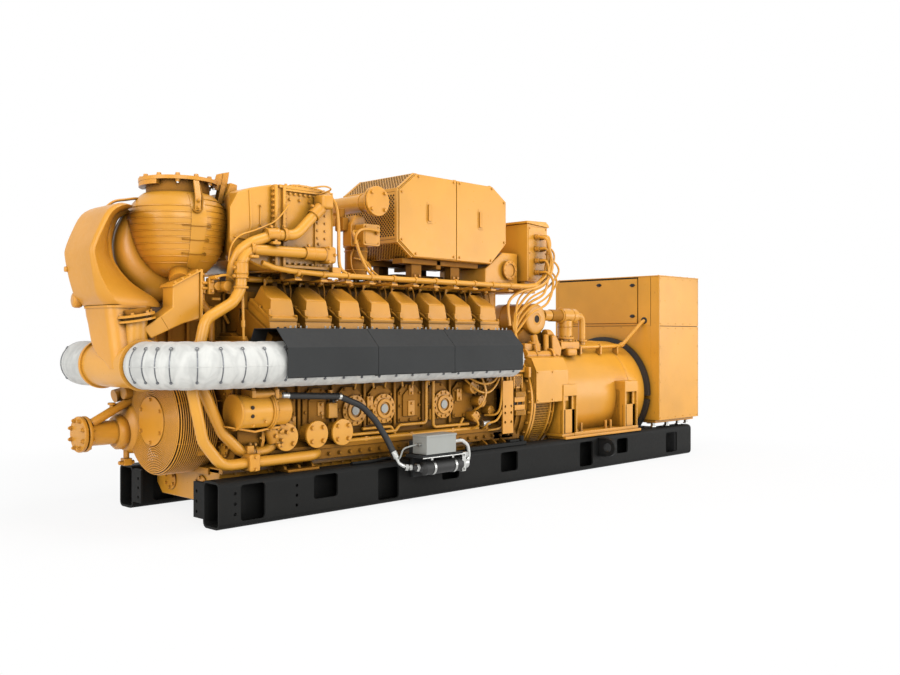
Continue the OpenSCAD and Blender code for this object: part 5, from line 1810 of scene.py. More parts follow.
@dataclass
class CoolantCircuit:
    """Coolant pipes on both levels, the pump at the front and the regulator drum."""

    radius: float = 0.0365

    def build(self) -> None:
        """Makes the circuit's pieces."""
        self.pipes()
        self.pump()
        self.regulator()

    def clamp(self, shape: Shape, at: Point, way: Point, wide: float = 0.05) -> None:
        """Band clamp round a pipe.

        Args:
            shape: Piece that it is added to.
            at: Middle of the clamp.
            way: Direction of the pipe.
            wide: Width of the band.
        """
        run = Vector(way).normalized() * wide / 2
        shape.drum(Vector(at) - run, Vector(at) + run, self.radius + 0.009, 0.003, 28)
        for s in (-1, 1):
            shape.hoop(Vector(at) + run * s, way, self.radius + 0.007, 0.005, 28, 6)
        side = run.cross(Vector((0, 1, 0))).normalized() * (self.radius + 0.018)
        shape.bolts([Vector(at) + side], (0, -1, 0), 0.02)

    def pipes(self) -> None:
        """The two pipes from the cooler and the two that come out below the wrapped manifold."""
        shape = Shape(SHEET, CASTING)
        upper = [(1.03, -0.4, 2.2), (0.98, -0.47, 2.185), (0.953, -0.495, 2.15),
            (0.699, -0.495, 1.902), (0.511, -0.495, 1.887), (0.345, -0.495, 1.828),
            (0.268, -0.47, 1.775), (0.245, -0.43, 1.68), (0.262, -0.36, 1.5)]
        shape.pipe(upper, self.radius, 0.12, 24)
        lower = [(1.03, -0.4, 1.781), (0.96, -0.49, 1.781), (0.874, -0.5, 1.783),
            (0.335, -0.5, 1.782), (0.262, -0.5, 1.7), (0.258, -0.5, 1.52), (0.2, -0.5, 1.43),
            (-0.005, -0.5, 1.315), (-0.036, -0.5, 1.18), (-0.036, -0.5, 0.9), (0.116, -0.5, 0.591),
            (0.257, -0.5, 0.457), (0.36, -0.5, 0.443)]
        for each in ((lower, self.radius, 0.11, 24), ([(0.36, -0.5, 0.443), (0.46, -0.5, 0.455),
                (0.535, -0.51, 0.51), (0.54, -0.52, 0.6)], 0.034, 0.07, 20),
                ([(-0.02, -0.45, 1.16), (-0.09, -0.52, 1.08), (-0.125, -0.55, 0.871),
                (-0.051, -0.55, 0.55), (0.084, -0.55, 0.385), (0.8, -0.55, 0.392),
                (0.87, -0.5, 0.4), (0.88, -0.46, 0.4)], self.radius, 0.13, 24)):
            shape.pipe(*each)
        shape.wire([(0.657, -0.47, 2.109), (0.606, -0.47, 2.044), (0.53, -0.475, 1.977),
            (0.389, -0.475, 1.913), (0.269, -0.47, 1.867), (0.219, -0.45, 1.799),
            (0.215, -0.42, 1.7)], 0.006, 8)
        shape.use(1)
        self.clamp(shape, (0.335, -0.5, 1.782), (1, 0, 0), 0.02)
        self.clamp(shape, (0.8, -0.5, 1.782), (1, 0, 0), 0.07)
        shape.drum((0.82, -0.5, 1.782), (0.93, -0.5, 1.782), 0.046, 0.005, 28)
        self.clamp(shape, (0.5, -0.495, 1.888), (0.95, 0, 0.08), 0.09)
        self.clamp(shape, (0.6, -0.495, 1.896), (1, 0, 0.05), 0.02)
        self.clamp(shape, (0.875, -0.495, 2.075), (0.72, 0, 0.7), 0.08)
        shape.block((0.89, -0.55, 2.1), (0.99, -0.43, 2.2), 0.02)
        shape.block((0.93, -0.54, 1.72), (1.02, -0.43, 1.84), 0.02)
        shape.bolts([(0.95, -0.54, 1.83), (0.95, -0.54, 1.73), (1.0, -0.54, 1.78)], (0, -1, 0),
            0.022)
        self.clamp(shape, (0.261, -0.5, 1.655), (0, 0, 1), 0.07)
        self.clamp(shape, (0.26, -0.5, 1.6), (0, 0, 1), 0.02)
        shape.drum((0.258, -0.5, 1.52), (0.258, -0.5, 1.535), 0.048, 0.004, 28)
        self.clamp(shape, (0.325, -0.5, 0.447), (1, 0, 0), 0.025)
        self.clamp(shape, (0.365, -0.5, 0.443), (1, 0, 0), 0.02)
        # Saddles that carry the front pipes.
        shape.block((0.255, -0.612, 0.335), (0.335, -0.495, 0.449), 0.012)
        shape.block((0.27, -0.56, 0.44), (0.32, -0.48, 0.5), 0.006)
        shape.bolts([(0.295, -0.612, 0.43), (0.295, -0.612, 0.35)], (0, -1, 0), 0.02)
        shape.block((0.3, -0.56, 1.72), (0.36, -0.43, 1.74), 0.005)
        shape.block((0.47, -0.56, 1.82), (0.53, -0.43, 1.84), 0.005)
        shape.bolts([(0.5, -0.545, 1.84)], (0, 0, 1), 0.02)
        shape.block((-0.02, -0.5, 1.03), (0.25, -0.42, 1.07), 0.006)
        shape.finished("coolant_pipework", "engine_paint", ["coolant_pipes"], 50)

    def pump(self) -> None:
        """Coolant pump on the far front corner, with its capped inlet pipe, body and outlet."""
        shape = Shape(CASTING, SHEET)
        y, z = 0.35, 0.56
        for each in (((-0.412, y, z), (-0.388, y, z), 0.12, 0.006, 40),
                ((-0.447, y, z), (-0.42, y, z), 0.12, 0.006, 40), ((-0.421, y, z), (-0.411, y, z),
                0.09, 0.001, 32)):
            shape.drum(*each)
        for k in range(8):
            a = math.tau * (k + 0.5) / 8
            spot = Vector((-0.46, y + 0.098 * math.cos(a), z + 0.098 * math.sin(a)))
            shape.drum(spot + Vector((-0.01, 0, 0)), spot + Vector((0.088, 0, 0)), 0.009, 0.002, 10)
            shape.bolts([spot + Vector((0.013, 0, 0))], (-1, 0, 0), 0.027)
            shape.bolts([spot + Vector((0.072, 0, 0))], (1, 0, 0), 0.027)
        shape.use(1).drum((-0.388, y, z), (-0.15, y, z), 0.082, 0.004, 36)
        shape.use(0).turned([(0, 0.08), (0.03, 0.11), (0.05, 0.16), (0.09, 0.185), (0.15, 0.19),
            (0.2, 0.17), (0.24, 0.11), (0.38, 0.1), (0.38, 0.0)], (-0.17, 0.36, 0.59), (1, 0, 0),
            40)
        shape.turned([(0, 0), (0, 0.1), (0.02, 0.12), (0.06, 0.12), (0.08, 0.1), (0.08, 0)],
            (-0.2, y, z), (1, 0, 0), 36)
        shape.tube([(-0.37, 0.31, 0.632), (-0.3, 0.3, 0.672), (-0.2, 0.3, 0.725),
            (-0.1, 0.3, 0.77)], 0.03, 18)
        shape.tube([(-0.17, 0.4, 0.8), (0.1, 0.4, 0.86), (0.26, 0.36, 0.88)], 0.045, 18)
        for each in (((-0.155, 0.3, 0.826), (-0.06, 0.3, 0.826), 0.046, 0.008, 24),
                ((-0.235, 0.3, 0.7), (-0.235, 0.3, 0.752), 0.014, 0.003, 14), ((-0.235, 0.3, 0.748),
                (-0.235, 0.3, 0.764), 0.026, 0.004, 18)):
            shape.drum(*each)
        shape.capped_flange((-0.06, 0.3, 0.83), (-1, 0, 0), 0.075, 0.016, 6, 0.02)
        shape.capped_flange((0.02, 0.2, 1.0), (-1, 0, 0), 0.06, 0.016, 6, 0.02)
        shape.drum((-0.1, 0.36, 0.44), (-0.1, 0.36, 0.36), 0.02, 0.003, 14)
        shape.block((-0.13, 0.33, 0.325), (-0.07, 0.39, 0.375), 0.006)
        shape.drum((-0.16, 0.35, 0.345), (-0.05, 0.35, 0.345), 0.014, 0.002, 12)
        shape.bolt_ring((-0.08, 0.36, 0.59), (-1, 0, 0), 0.172, 12, 0.02)
        shape.finished("coolant_pump", "engine_paint", ["water_pump"], 45)

    def regulator(self) -> None:
        """Regulator drum with a bolted end plate, a clamp ring and the hose outlet on top."""
        shape = Shape(CASTING, SHEET, SHADE_BROWN)
        y, z = -0.56, 0.722
        shape.drum((0.155, y, z), (0.175, y, z), 0.118, 0.006, 44)
        shape.use(1).drum((0.17, y, z), (0.41, y, z), 0.11, 0.005, 44)
        shape.use(0).drum((0.395, y, z), (0.43, y, z), 0.123, 0.006, 44)
        shape.drum((0.43, y, z), (0.56, y, z), 0.102, 0.02, 44)
        shape.hoop((0.412, y, z), (1, 0, 0), 0.123, 0.006, 44, 6)
        shape.bolt_ring((0.43, y, z), (1, 0, 0), 0.112, 10, 0.017)
        # Painted shade: two small dark discs on the drum's near face.
        shape.use(2)
        for zz, r in ((0.755, 0.012), (0.7, 0.012)):
            shape.drum((0.235, y - 0.105, zz), (0.235, y - 0.115, zz), r, 0.001, 14)
        shape.use(0).block((0.255, -0.635, 0.812), (0.285, -0.5, 0.862), 0.006)
        shape.drum((0.27, -0.6, 0.832), (0.45, -0.6, 0.832), 0.034, 0.005, 24)
        shape.block((0.43, -0.64, 0.8), (0.462, -0.54, 0.866), 0.006)
        shape.drum((0.462, -0.6, 0.822), (0.492, -0.6, 0.818), 0.028, 0.003, 6)
        shape.bolts([(0.27, -0.625, 0.862), (0.27, -0.52, 0.862), (0.446, -0.625, 0.866),
            (0.446, -0.56, 0.866)], (0, 0, 1), 0.022)
        shape.prism([(0.1, 0.63), (0.3, 0.585), (0.42, 0.6), (0.42, 0.615), (0.3, 0.6),
            (0.1, 0.64)], Axis.Y, -0.6, -0.45, 0.003)
        shape.block((0.26, -0.52, 0.6), (0.36, -0.42, 0.8), 0.01)
        shape.bolts([(0.235, y - 0.112, 0.64), (0.33, y - 0.112, 0.66)], (0, -1, 0), 0.018)
        # Elbow below the drum with its bolted flanges.
        shape.pipe([(0.46, -0.53, 0.63), (0.47, -0.53, 0.58), (0.5, -0.52, 0.52)], 0.052, 0.05, 20)
        shape.drum((0.46, -0.53, 0.618), (0.46, -0.53, 0.6), 0.075, 0.004, 28)
        shape.bolt_ring((0.46, -0.53, 0.6), (0, 0, -1), 0.062, 6, 0.018)
        shape.capped_flange((0.535, -0.56, 0.6), (0, -1, 0), 0.045, 0.015, 4, 0.018)
        for dx, dz in ((0.0, 0.0), (0.05, -0.03), (0.09, 0.02), (0.02, -0.06)):
            shape.drum((0.47 + dx, -0.57, 0.55 + dz), (0.47 + dx, -0.6, 0.55 + dz), 0.012, 0.002,
                10)
        shape.finished("regulator_drum", "engine_paint", ["regulator_housing"], 45)


@dataclass
class AirCleaner:
    """Air cleaner house on its stand: a long eight-sided box with two doors and a pierced front."""

    half: float = 0.33
    seam: float = 2.435

    # Corners of the near face, from the upper front corner round to the front.
    CORNERS: ClassVar[Flat] = ((1.974, 2.5), (2.886, 2.497), (3.059, 2.385), (3.059, 2.01),
        (2.867, 1.83), (1.953, 1.835), (1.79, 1.955), (1.79, 2.354))

    def build(self) -> None:
        """Makes the house, its doors and its stand."""
        self.house()
        self.doors()
        self.stand()

    def house(self) -> None:
        """Sheet house; the two slopes and the upright at its front are pierced and framed."""
        shape = Shape(SHEET, SHADE_BROWN)
        shape.prism(self.CORNERS, Axis.Y, -self.half, self.half, 0.008)
        far = self.half - 0.014
        ends = [Vector((x, 0, z)) for x, z in self.CORNERS]
        for low, high in ((ends[5], ends[6]), (ends[6], ends[7]), (ends[7], ends[0])):
            rise = high - low
            out = Vector((-rise.z, 0, rise.x)).normalized()
            slope = Matrix.Rotation(math.atan2(rise.x, rise.z), 4, "Y")
            middle = low + rise / 2
            # Painted shade: a dark sheet behind each pierced panel stands for the shaded inside.
            part = bmesh.new()
            bmesh.ops.create_cube(part, size=1.0, matrix=Matrix.Translation(middle + out * 0.003)
                @ slope @ Matrix.Diagonal((0.004, 2 * far, rise.length * 0.92, 1.0)))
            shape.use(1).keep(part)
            shape.use(0).perforated(low + rise * 0.04 + out * 0.01 + Vector((0, far, 0)),
                (0, -2 * far, 0), rise * 0.92, 0.0215, 0.002, 0.0036)
            for y in (-self.half + 0.01, self.half - 0.01):
                part = bmesh.new()
                bmesh.ops.create_cube(part, size=1.0, matrix=Matrix.Translation(middle + out * 0.008
                    + Vector((0, y, 0))) @ slope @ Matrix.Diagonal((0.01, 0.022, rise.length - 0.02,
                    1.0)))
                shape.soften(part, 0.002)
                shape.keep(part)
        for corner in (ends[6], ends[7]):
            shape.block(corner + Vector((-0.011, -self.half, -0.014)),
                corner + Vector((0.004, self.half, 0.014)), 0.003)
        for x in (1.991, self.seam, 2.867):
            shape.block((x - 0.012, -self.half + 0.01, 2.49), (x + 0.012, self.half - 0.01, 2.504),
                0.002)
        shape.finished("cleaner_house", "engine_paint", ["air_cleaner_housing"], 50)

    def doors(self) -> None:
        """Two doors with folded edges, lever handles on plates and a screw in each corner."""
        shape = Shape(SHEET, CASTING, SHADE_BROWN)
        y, gap = -self.half, 0.004
        corners = [(x + (0.008 if x < self.seam else -0.008), z + (0.006 if z < 2.1 else -0.006))
            for x, z in self.CORNERS]
        left = [corners[0], (self.seam - gap, corners[0][1]), (self.seam - gap, corners[5][1]),
            *corners[5:]]
        right = [(self.seam + gap, corners[1][1]), *corners[1:5], (self.seam + gap, corners[4][1])]
        for outline in (left, right):
            shape.use(0).prism(outline, Axis.Y, y - 0.01, y + 0.002, 0.004)
        for x, z in ((2.127, 2.202), (2.728, 2.199)):
            shape.use(0).prism(round_box(x - 0.034, x + 0.034, z - 0.086, z + 0.086, 0.01), Axis.Y,
                y - 0.014, y - 0.009, 0.002)
            shape.use(1).prism(round_box(x - 0.026, x + 0.012, z - 0.07, z + 0.064, 0.008), Axis.Y,
                y - 0.026, y - 0.013, 0.004)
            # Painted shadow: a thin dark strip beside each handle.
            shape.use(2).block((x + 0.013, y - 0.0155, z - 0.066), (x + 0.02, y - 0.0135,
                z + 0.062), 0.0)
        middle = ((self.seam - 0.035, 2.476), (self.seam + 0.035, 2.476),
            (self.seam - 0.035, 1.863), (self.seam + 0.035, 1.863), (2.001, 2.478), (2.867, 2.476),
            (3.024, 2.37), (3.024, 2.026), (2.852, 1.86), (1.971, 1.864), (1.822, 1.968),
            (1.822, 2.34))
        shape.use(1).bolts([(x, y - 0.01, z) for x, z in middle], (0, -1, 0), 0.018)
        shape.finished("cleaner_doors", "engine_paint", ["air_cleaner_doors"], 50)

    def stand(self) -> None:
        """Two frames that carry the house over the charge manifold."""
        shape = Shape(SHADE_ENAMEL, CASTING)
        for x in (2.078, 2.522):
            for s in (-1, 1):
                shape.use(0).block((x - 0.055, s * 0.235, 1.66), (x + 0.055, s * 0.225, 1.834),
                    0.002)
                shape.block((x - 0.055, s * 0.235, 1.66), (x - 0.049, s * 0.165, 1.834), 0.002)
                shape.block((x + 0.049, s * 0.235, 1.66), (x + 0.055, s * 0.165, 1.834), 0.002)
                shape.use(1).bolts([(x - 0.025, s * 0.235, 1.7), (x + 0.025, s * 0.235, 1.7)],
                    (0, s, 0), 0.022)
        shape.use(0)
        for s in (-1, 1):
            shape.block((1.88, s * 0.24, 1.635), (2.78, s * 0.15, 1.668), 0.005)
            shape.block((1.9, s * 0.26, 1.79), (2.78, s * 0.14, 1.834), 0.005)
            shape.use(1).bolt_row((1.93, s * 0.235, 1.668), (2.73, s * 0.235, 1.668), 8, (0, 0, 1),
                0.024)
            shape.use(0)
        shape.block((2.28, -0.26, 1.76), (2.33, 0.26, 1.834), 0.004)
        shape.block((2.03, -0.05, 1.63), (2.58, 0.13, 1.72), 0.01)
        shape.finished("cleaner_stand", "engine_paint", ["air_cleaner_stand"], 50)


@dataclass
class GasTrain:
    """Blanked gas flange with its pipe, the metering valve box and the column it stands on."""

    centre: tuple[float, float, float] = (1.483, -0.45, 2.219)

    def build(self) -> None:
        """Makes the gas inlet."""
        shape = Shape(CASTING, SHEET, SHADE_ENAMEL)
        x, y, z = self.centre
        for each in (((x, y, z), (x, y + 0.02, z), 0.112, 0.005, 44),
                ((x, y + 0.026, z), (x, y + 0.046, z), 0.112, 0.005, 44),
                ((x, y + 0.018, z), (x, y + 0.03, z), 0.09, 0.001, 36)):
            shape.drum(*each)
        for k in range(4):
            a = math.tau * (k + 0.5) / 4
            spot = Vector((x + 0.088 * math.cos(a), y, z + 0.088 * math.sin(a)))
            shape.bolts([spot], (0, -1, 0), 0.026)
            shape.bolts([spot + Vector((0, 0.046, 0))], (0, 1, 0), 0.026)
        shape.use(1).drum((x, y + 0.04, z), (x, y + 0.46, z), 0.066, 0.003, 32)
        shape.pipe([(x, y + 0.44, z), (x, y + 0.56, z), (x + 0.03, y + 0.56, z - 0.14)], 0.066, 0.1,
            24)
        shape.use(0).hoop((x, y + 0.16, z), (0, 1, 0), 0.066, 0.007, 32, 6)
        # Metering valve: body, actuator box on its near side and the round plug below it.
        shape.prism([(1.345, 1.885), (1.5, 1.885), (1.5, 2.045), (1.47, 2.12), (1.39, 2.12),
            (1.345, 2.045)], Axis.Y, -0.3, -0.2, 0.01)
        shape.use(1).prism(round_box(1.382, 1.543, 1.888, 2.048, 0.014), Axis.Y, -0.4, -0.3, 0.008)
        shape.use(0).prism(round_box(1.394, 1.531, 1.9, 2.036, 0.01), Axis.Y, -0.405, -0.398, 0.002)
        shape.bolts([(cx, -0.405, cz) for cx in (1.402, 1.523) for cz in (1.908, 2.028)],
            (0, -1, 0), 0.012)
        shape.wire([(1.5, -0.4, 1.985), (1.505, -0.425, 1.99), (1.44, -0.45, 2.0),
            (1.33, -0.45, 1.995), (1.27, -0.45, 1.95), (1.255, -0.46, 1.88)], 0.01, 8)
        shape.drum((1.505, -0.405, 1.985), (1.505, -0.425, 1.985), 0.016, 0.003, 12)
        # Column of the valve, with a clamp ring, bolted feet and the sensing line beside it.
        shape.use(2).drum((1.5, -0.17, 1.66), (1.5, -0.17, 1.89), 0.085, 0.004, 36)
        for height in (1.715, 1.86):
            shape.use(0).hoop((1.5, -0.17, height), (0, 0, 1), 0.086, 0.006, 36, 6)
        shape.wire([(1.4, -0.27, 1.8), (1.46, -0.28, 1.79), (1.55, -0.27, 1.76),
            (1.6, -0.24, 1.69)], 0.007, 8)
        shape.wire([(1.4, -0.26, 1.87), (1.36, -0.28, 1.8), (1.37, -0.28, 1.72),
            (1.42, -0.26, 1.68)], 0.007, 8)
        shape.block((1.41, -0.27, 1.645), (1.6, -0.06, 1.668), 0.005)
        shape.bolt_row((1.43, -0.255, 1.668), (1.58, -0.255, 1.668), 4, (0, 0, 1), 0.022)
        shape.use(2).block((1.3, -0.26, 2.0), (1.36, -0.16, 2.1), 0.01)
        shape.drum((1.33, -0.2, 2.1), (1.33, -0.2, 2.17), 0.03, 0.004, 18)
        shape.finished("gas_inlet_set", "engine_paint", ["gas_inlet"], 45)


@dataclass
class Controls:
    """Control box at the back of the engine, the inlet duct in front of it, and the wiring."""

    front: float = 3.27
    rear: float = 3.547
    near: float = -0.4
    far: float = 0.24

    def build(self) -> None:
        """Makes the box, the duct and the wiring."""
        self.box()
        self.duct()
        self.wiring()

    def box(self) -> None:
        """Box with a sloping lid, cable glands in pairs and a hinged front."""
        shape = Shape(SHEET, CASTING, RUBBER)
        shape.prism([(self.front, 1.7), (self.rear, 1.7), (self.rear, 2.195), (self.front, 2.21)],
            Axis.Y, self.near, self.far, 0.006)
        shape.prism([(self.front - 0.018, 2.212), (self.rear + 0.014, 2.19),
            (self.rear + 0.014, 2.208), (self.rear - 0.03, 2.24), (self.front - 0.018, 2.232)],
            Axis.Y, self.near - 0.012, self.far + 0.012, 0.004)
        shape.block((self.front + 0.012, self.near - 0.005, 1.715),
            (self.rear - 0.012, self.near + 0.004, 2.185), 0.003)
        shape.use(1).bolts([(x, self.near - 0.005, z) for x in (self.front + 0.025,
            self.rear - 0.025) for z in (1.73, 1.95, 2.17)], (0, -1, 0), 0.014)
        for row in range(4):
            z = 2.095 - row * 0.105
            for x in (3.375, 3.452):
                shape.use(1).drum((x, self.near - 0.005, z), (x, self.near - 0.026, z), 0.026,
                    0.003, 6)
                shape.drum((x, self.near - 0.02, z), (x, self.near - 0.052, z), 0.02, 0.004, 18)
                shape.use(2).drum((x, self.near - 0.05, z), (x, self.near - 0.056, z), 0.012, 0.002,
                    12)
        shape.use(0).block((3.3, -0.3, 1.6), (3.5, 0.14, 1.71), 0.006)
        shape.use(1).block((3.28, -0.36, 1.66), (3.34, -0.3, 1.71), 0.004)
        shape.finished("control_cabinet", "engine_paint", ["control_box"], 50)

    def duct(self) -> None:
        """Duct between the house and the box, with a round cover in a bolted ring."""
        shape = Shape(SHEET, CASTING)
        shape.prism([(2.83, 1.664), (2.83, 1.795), (3.05, 1.945), (3.255, 1.945), (3.255, 1.664)],
            Axis.Y, -0.3, 0.26, 0.01)
        x, z = 3.115, 1.79
        shape.use(1).drum((x, -0.29, z), (x, -0.325, z), 0.074, 0.004, 36)
        shape.washer((x, -0.325, z), (0, -1, 0), 0.058, 0.086, 0.014)
        shape.drum((x, -0.32, z), (x, -0.328, z), 0.06, 0.001, 32)
        shape.bolt_ring((x, -0.338, z), (0, -1, 0), 0.073, 10, 0.012)
        shape.block((2.83, -0.32, 1.63), (3.26, 0.28, 1.664), 0.004)
        shape.bolt_row((2.88, -0.312, 1.664), (3.18, -0.312, 1.664), 6, (0, 0, 1), 0.022)
        shape.drum((2.98, -0.12, 1.42), (2.98, -0.12, 1.65), 0.12, 0.01, 32)
        shape.finished("inlet_duct_set", "engine_paint", ["inlet_duct"], 50)

    def wiring(self) -> None:
        """Long conduit with its clips, the cables at both ends and the wires by the cooler."""
        shape = Shape(SHEET, CASTING)
        y = -0.485
        shape.pipe([(0.43, y, 1.7), (0.52, y, 1.672), (0.66, y, 1.656), (1.0, y, 1.644),
            (2.8, y, 1.642)], 0.019, 0.1, 14)
        shape.pipe([(2.8, y, 1.642), (3.15, y, 1.645), (3.3, y, 1.66), (3.41, y, 1.74),
            (3.455, y, 1.9), (3.47, y, 2.04), (3.452, -0.48, 2.095), (3.452, -0.45, 2.095)], 0.021,
            0.12, 14)
        shape.wire([(3.375, -0.45, 2.095), (3.376, -0.53, 2.07), (3.39, -0.55, 1.99),
            (3.44, -0.545, 1.83), (3.38, -0.53, 1.7), (3.28, -0.5, 1.64), (3.1, -0.47, 1.6),
            (2.95, -0.46, 1.5), (2.92, -0.5, 1.3)], 0.013, 8)
        for n, (x, z) in enumerate(((3.452, 1.99), (3.375, 1.99), (3.452, 1.885), (3.375, 1.885),
                (3.452, 1.78), (3.375, 1.78))):
            reach = 0.02 * (n % 3)
            low = 1.7 - 0.045 * n
            shape.wire([(x, -0.45, z), (x + 0.01, -0.52 - reach * 0.5, z - 0.01),
                (x + 0.03 + reach, -0.53 - reach * 0.5, z - 0.1), (3.36 + reach, -0.52, low + 0.03),
                (3.22, -0.47 - reach * 0.4, low - 0.06), (3.1 + reach, -0.45, low - 0.16),
                (3.0 - reach, -0.5, low - 0.28), (2.93 + reach, -0.55, 1.16)],
                0.009 + 0.002 * (n % 2), 8)
        for k in range(11):
            x = 0.72 + k * 0.222
            shape.use(1).drum((x - 0.012, y, 1.643), (x + 0.012, y, 1.643), 0.026, 0.003, 14)
            shape.block((x - 0.014, y + 0.005, 1.6), (x + 0.014, y + 0.02, 1.66), 0.003)
            shape.block((x - 0.03, y - 0.012, 1.592), (x + 0.03, y + 0.24, 1.606), 0.003)
            shape.bolts([(x + 0.02, y + 0.01, 1.606)], (0, 0, 1), 0.016)
            shape.use(0).wire([(x + 0.05, y + 0.01, 1.635), (x + 0.06, y + 0.05, 1.62),
                (x + 0.07, y + 0.15, 1.615), (x + 0.075, -0.22, 1.6)], 0.008, 6)
        # Drop from the cooler's top, down beside it and along to the conduit.
        shape.use(0).wire([(0.73, -0.3, 2.245), (0.8, -0.36, 2.262), (0.95, -0.44, 2.235),
            (1.055, -0.47, 2.16), (1.085, -0.475, 2.0), (1.088, -0.475, 1.8), (1.1, -0.478, 1.7),
            (1.16, -0.482, 1.655)], 0.013, 8)
        for each in (([(1.36, -0.35, 1.99), (1.32, -0.36, 1.985), (1.3, -0.4, 1.93),
                (1.32, -0.43, 1.82), (1.36, -0.47, 1.7), (1.42, -0.482, 1.65)], 0.011, 8),
                ([(1.375, -0.35, 1.93), (1.34, -0.38, 1.9), (1.35, -0.42, 1.8), (1.41, -0.46, 1.7),
                (1.47, -0.48, 1.65)], 0.008, 6), ([(0.93, -0.46, 2.21), (0.98, -0.52, 2.24),
                (0.92, -0.53, 2.255), (0.85, -0.46, 2.245)], 0.006, 6)):
            shape.wire(*each)
        shape.use(1).block((1.02, -0.49, 1.63), (1.1, -0.44, 1.7), 0.006)
        shape.finished("wiring_set", "engine_paint", ["wiring_conduit"])


@dataclass
class Breather:
    """Crankcase breather: a drum with a dark centre hole, a canister and the pipes between them."""

    def build(self) -> None:
        """Makes the breather."""
        shape = Shape(SHEET, CASTING, SHADE_BROWN, SHADE_ENAMEL)
        x, y, z, r = 3.462, -0.35, 1.368, 0.14
        shape.turned([(0.0, 0.034), (0.004, 0.052), (0.0, 0.056), (0.002, r - 0.028),
            (0.008, r - 0.008), (0.02, r), (0.44, r), (0.45, r - 0.01), (0.45, 0.0)], (x, y, z),
            (0, 1, 0), 44)
        # Painted shade: a dark disc fills the centre hole.
        shape.use(2).drum((x, y + 0.06, z), (x, y + 0.004, z), 0.042, 0.001, 24)
        shape.use(1).hoop((x, y + 0.09, z), (0, 1, 0), r, 0.007, 44, 6)
        shape.hoop((x, y + 0.33, z), (0, 1, 0), r, 0.007, 44, 6)
        shape.block((x - 0.015, y + 0.07, z - r - 0.05), (x + 0.015, y + 0.11, z - r + 0.01), 0.004)
        # Casting that carries it on the flywheel housing.
        shape.use(3).prism([(3.2, 1.1), (3.66, 1.1), (3.66, 1.2), (3.56, 1.28), (3.34, 1.28),
            (3.2, 1.18)], Axis.Y, -0.3, 0.14, 0.012)
        shape.use(1).drum((3.162, -0.45, 1.042), (3.524, -0.45, 1.042), 0.042, 0.005, 28)
        shape.drum((3.15, -0.45, 1.042), (3.175, -0.45, 1.042), 0.06, 0.004, 28)
        shape.drum((3.5, -0.45, 1.042), (3.535, -0.45, 1.042), 0.062, 0.004, 28)
        shape.bolt_ring((3.15, -0.45, 1.042), (-1, 0, 0), 0.05, 4, 0.016)
        shape.hoop((3.3, -0.45, 1.042), (1, 0, 0), 0.044, 0.006, 24, 6)
        shape.drum((3.34, -0.45, 1.07), (3.34, -0.41, 1.22), 0.034, 0.005, 22)
        shape.drum((3.5, -0.42, 1.07), (3.56, -0.37, 1.22), 0.028, 0.005, 22)
        shape.block((3.2, -0.43, 1.08), (3.42, -0.28, 1.15), 0.008)
        shape.drum((3.34, -0.41, 1.14), (3.34, -0.41, 1.165), 0.052, 0.004, 26)
        shape.bolt_ring((3.34, -0.41, 1.165), (0, 0, 1), 0.042, 5, 0.014)
        shape.prism([(3.6, 1.06), (3.72, 1.02), (3.74, 1.1), (3.66, 1.22), (3.6, 1.22)], Axis.Y,
            -0.42, -0.3, 0.012)
        # Canister: bright drum, neck in the darker enamel as painted shade, column and elbow.
        y = -0.3
        shape.use(0).drum((3.6, y, 1.405), (3.7, y, 1.405), 0.05, 0.004, 30)
        shape.use(3).drum((3.7, y, 1.405), (3.846, y, 1.405), 0.056, 0.004, 30)
        shape.use(0).drum((3.846, y, 1.405), (4.085, y, 1.405), 0.067, 0.01, 36)
        shape.use(1).hoop((3.862, y, 1.405), (1, 0, 0), 0.068, 0.006, 36, 6)
        shape.hoop((4.01, y, 1.405), (1, 0, 0), 0.067, 0.005, 36, 6)
        shape.use(0).drum((3.937, y, 1.16), (3.937, y, 1.36), 0.07, 0.006, 32)
        shape.use(1).hoop((3.937, y, 1.3), (0, 0, 1), 0.071, 0.006, 36, 6)
        shape.drum((3.937, y, 1.185), (3.937, y, 1.205), 0.088, 0.005, 32)
        shape.bolt_ring((3.937, y, 1.205), (0, 0, 1), 0.078, 8, 0.016)
        shape.use(0).pipe([(4.06, y, 1.405), (4.13, y, 1.405), (4.185, y, 1.4), (4.2, y, 1.35),
            (4.2, y, 1.13)], 0.034, 0.05, 22)
        shape.use(1).drum((4.2, y, 1.16), (4.2, y, 1.18), 0.05, 0.004, 28)
        shape.block((3.78, -0.38, 1.09), (4.06, -0.16, 1.165), 0.012)
        shape.block((3.84, -0.42, 1.03), (3.98, -0.3, 1.1), 0.02)
        shape.bolts([(3.81, -0.36, 1.165), (4.03, -0.36, 1.165), (3.92, -0.37, 1.165)], (0, 0, 1),
            0.022)
        shape.pipe([(3.56, -0.36, 1.24), (3.62, -0.36, 1.24), (3.72, -0.33, 1.18),
            (3.8, -0.32, 1.13)], 0.036, 0.06, 20)
        shape.finished("breather_set", "engine_paint", ["breather"], 45)


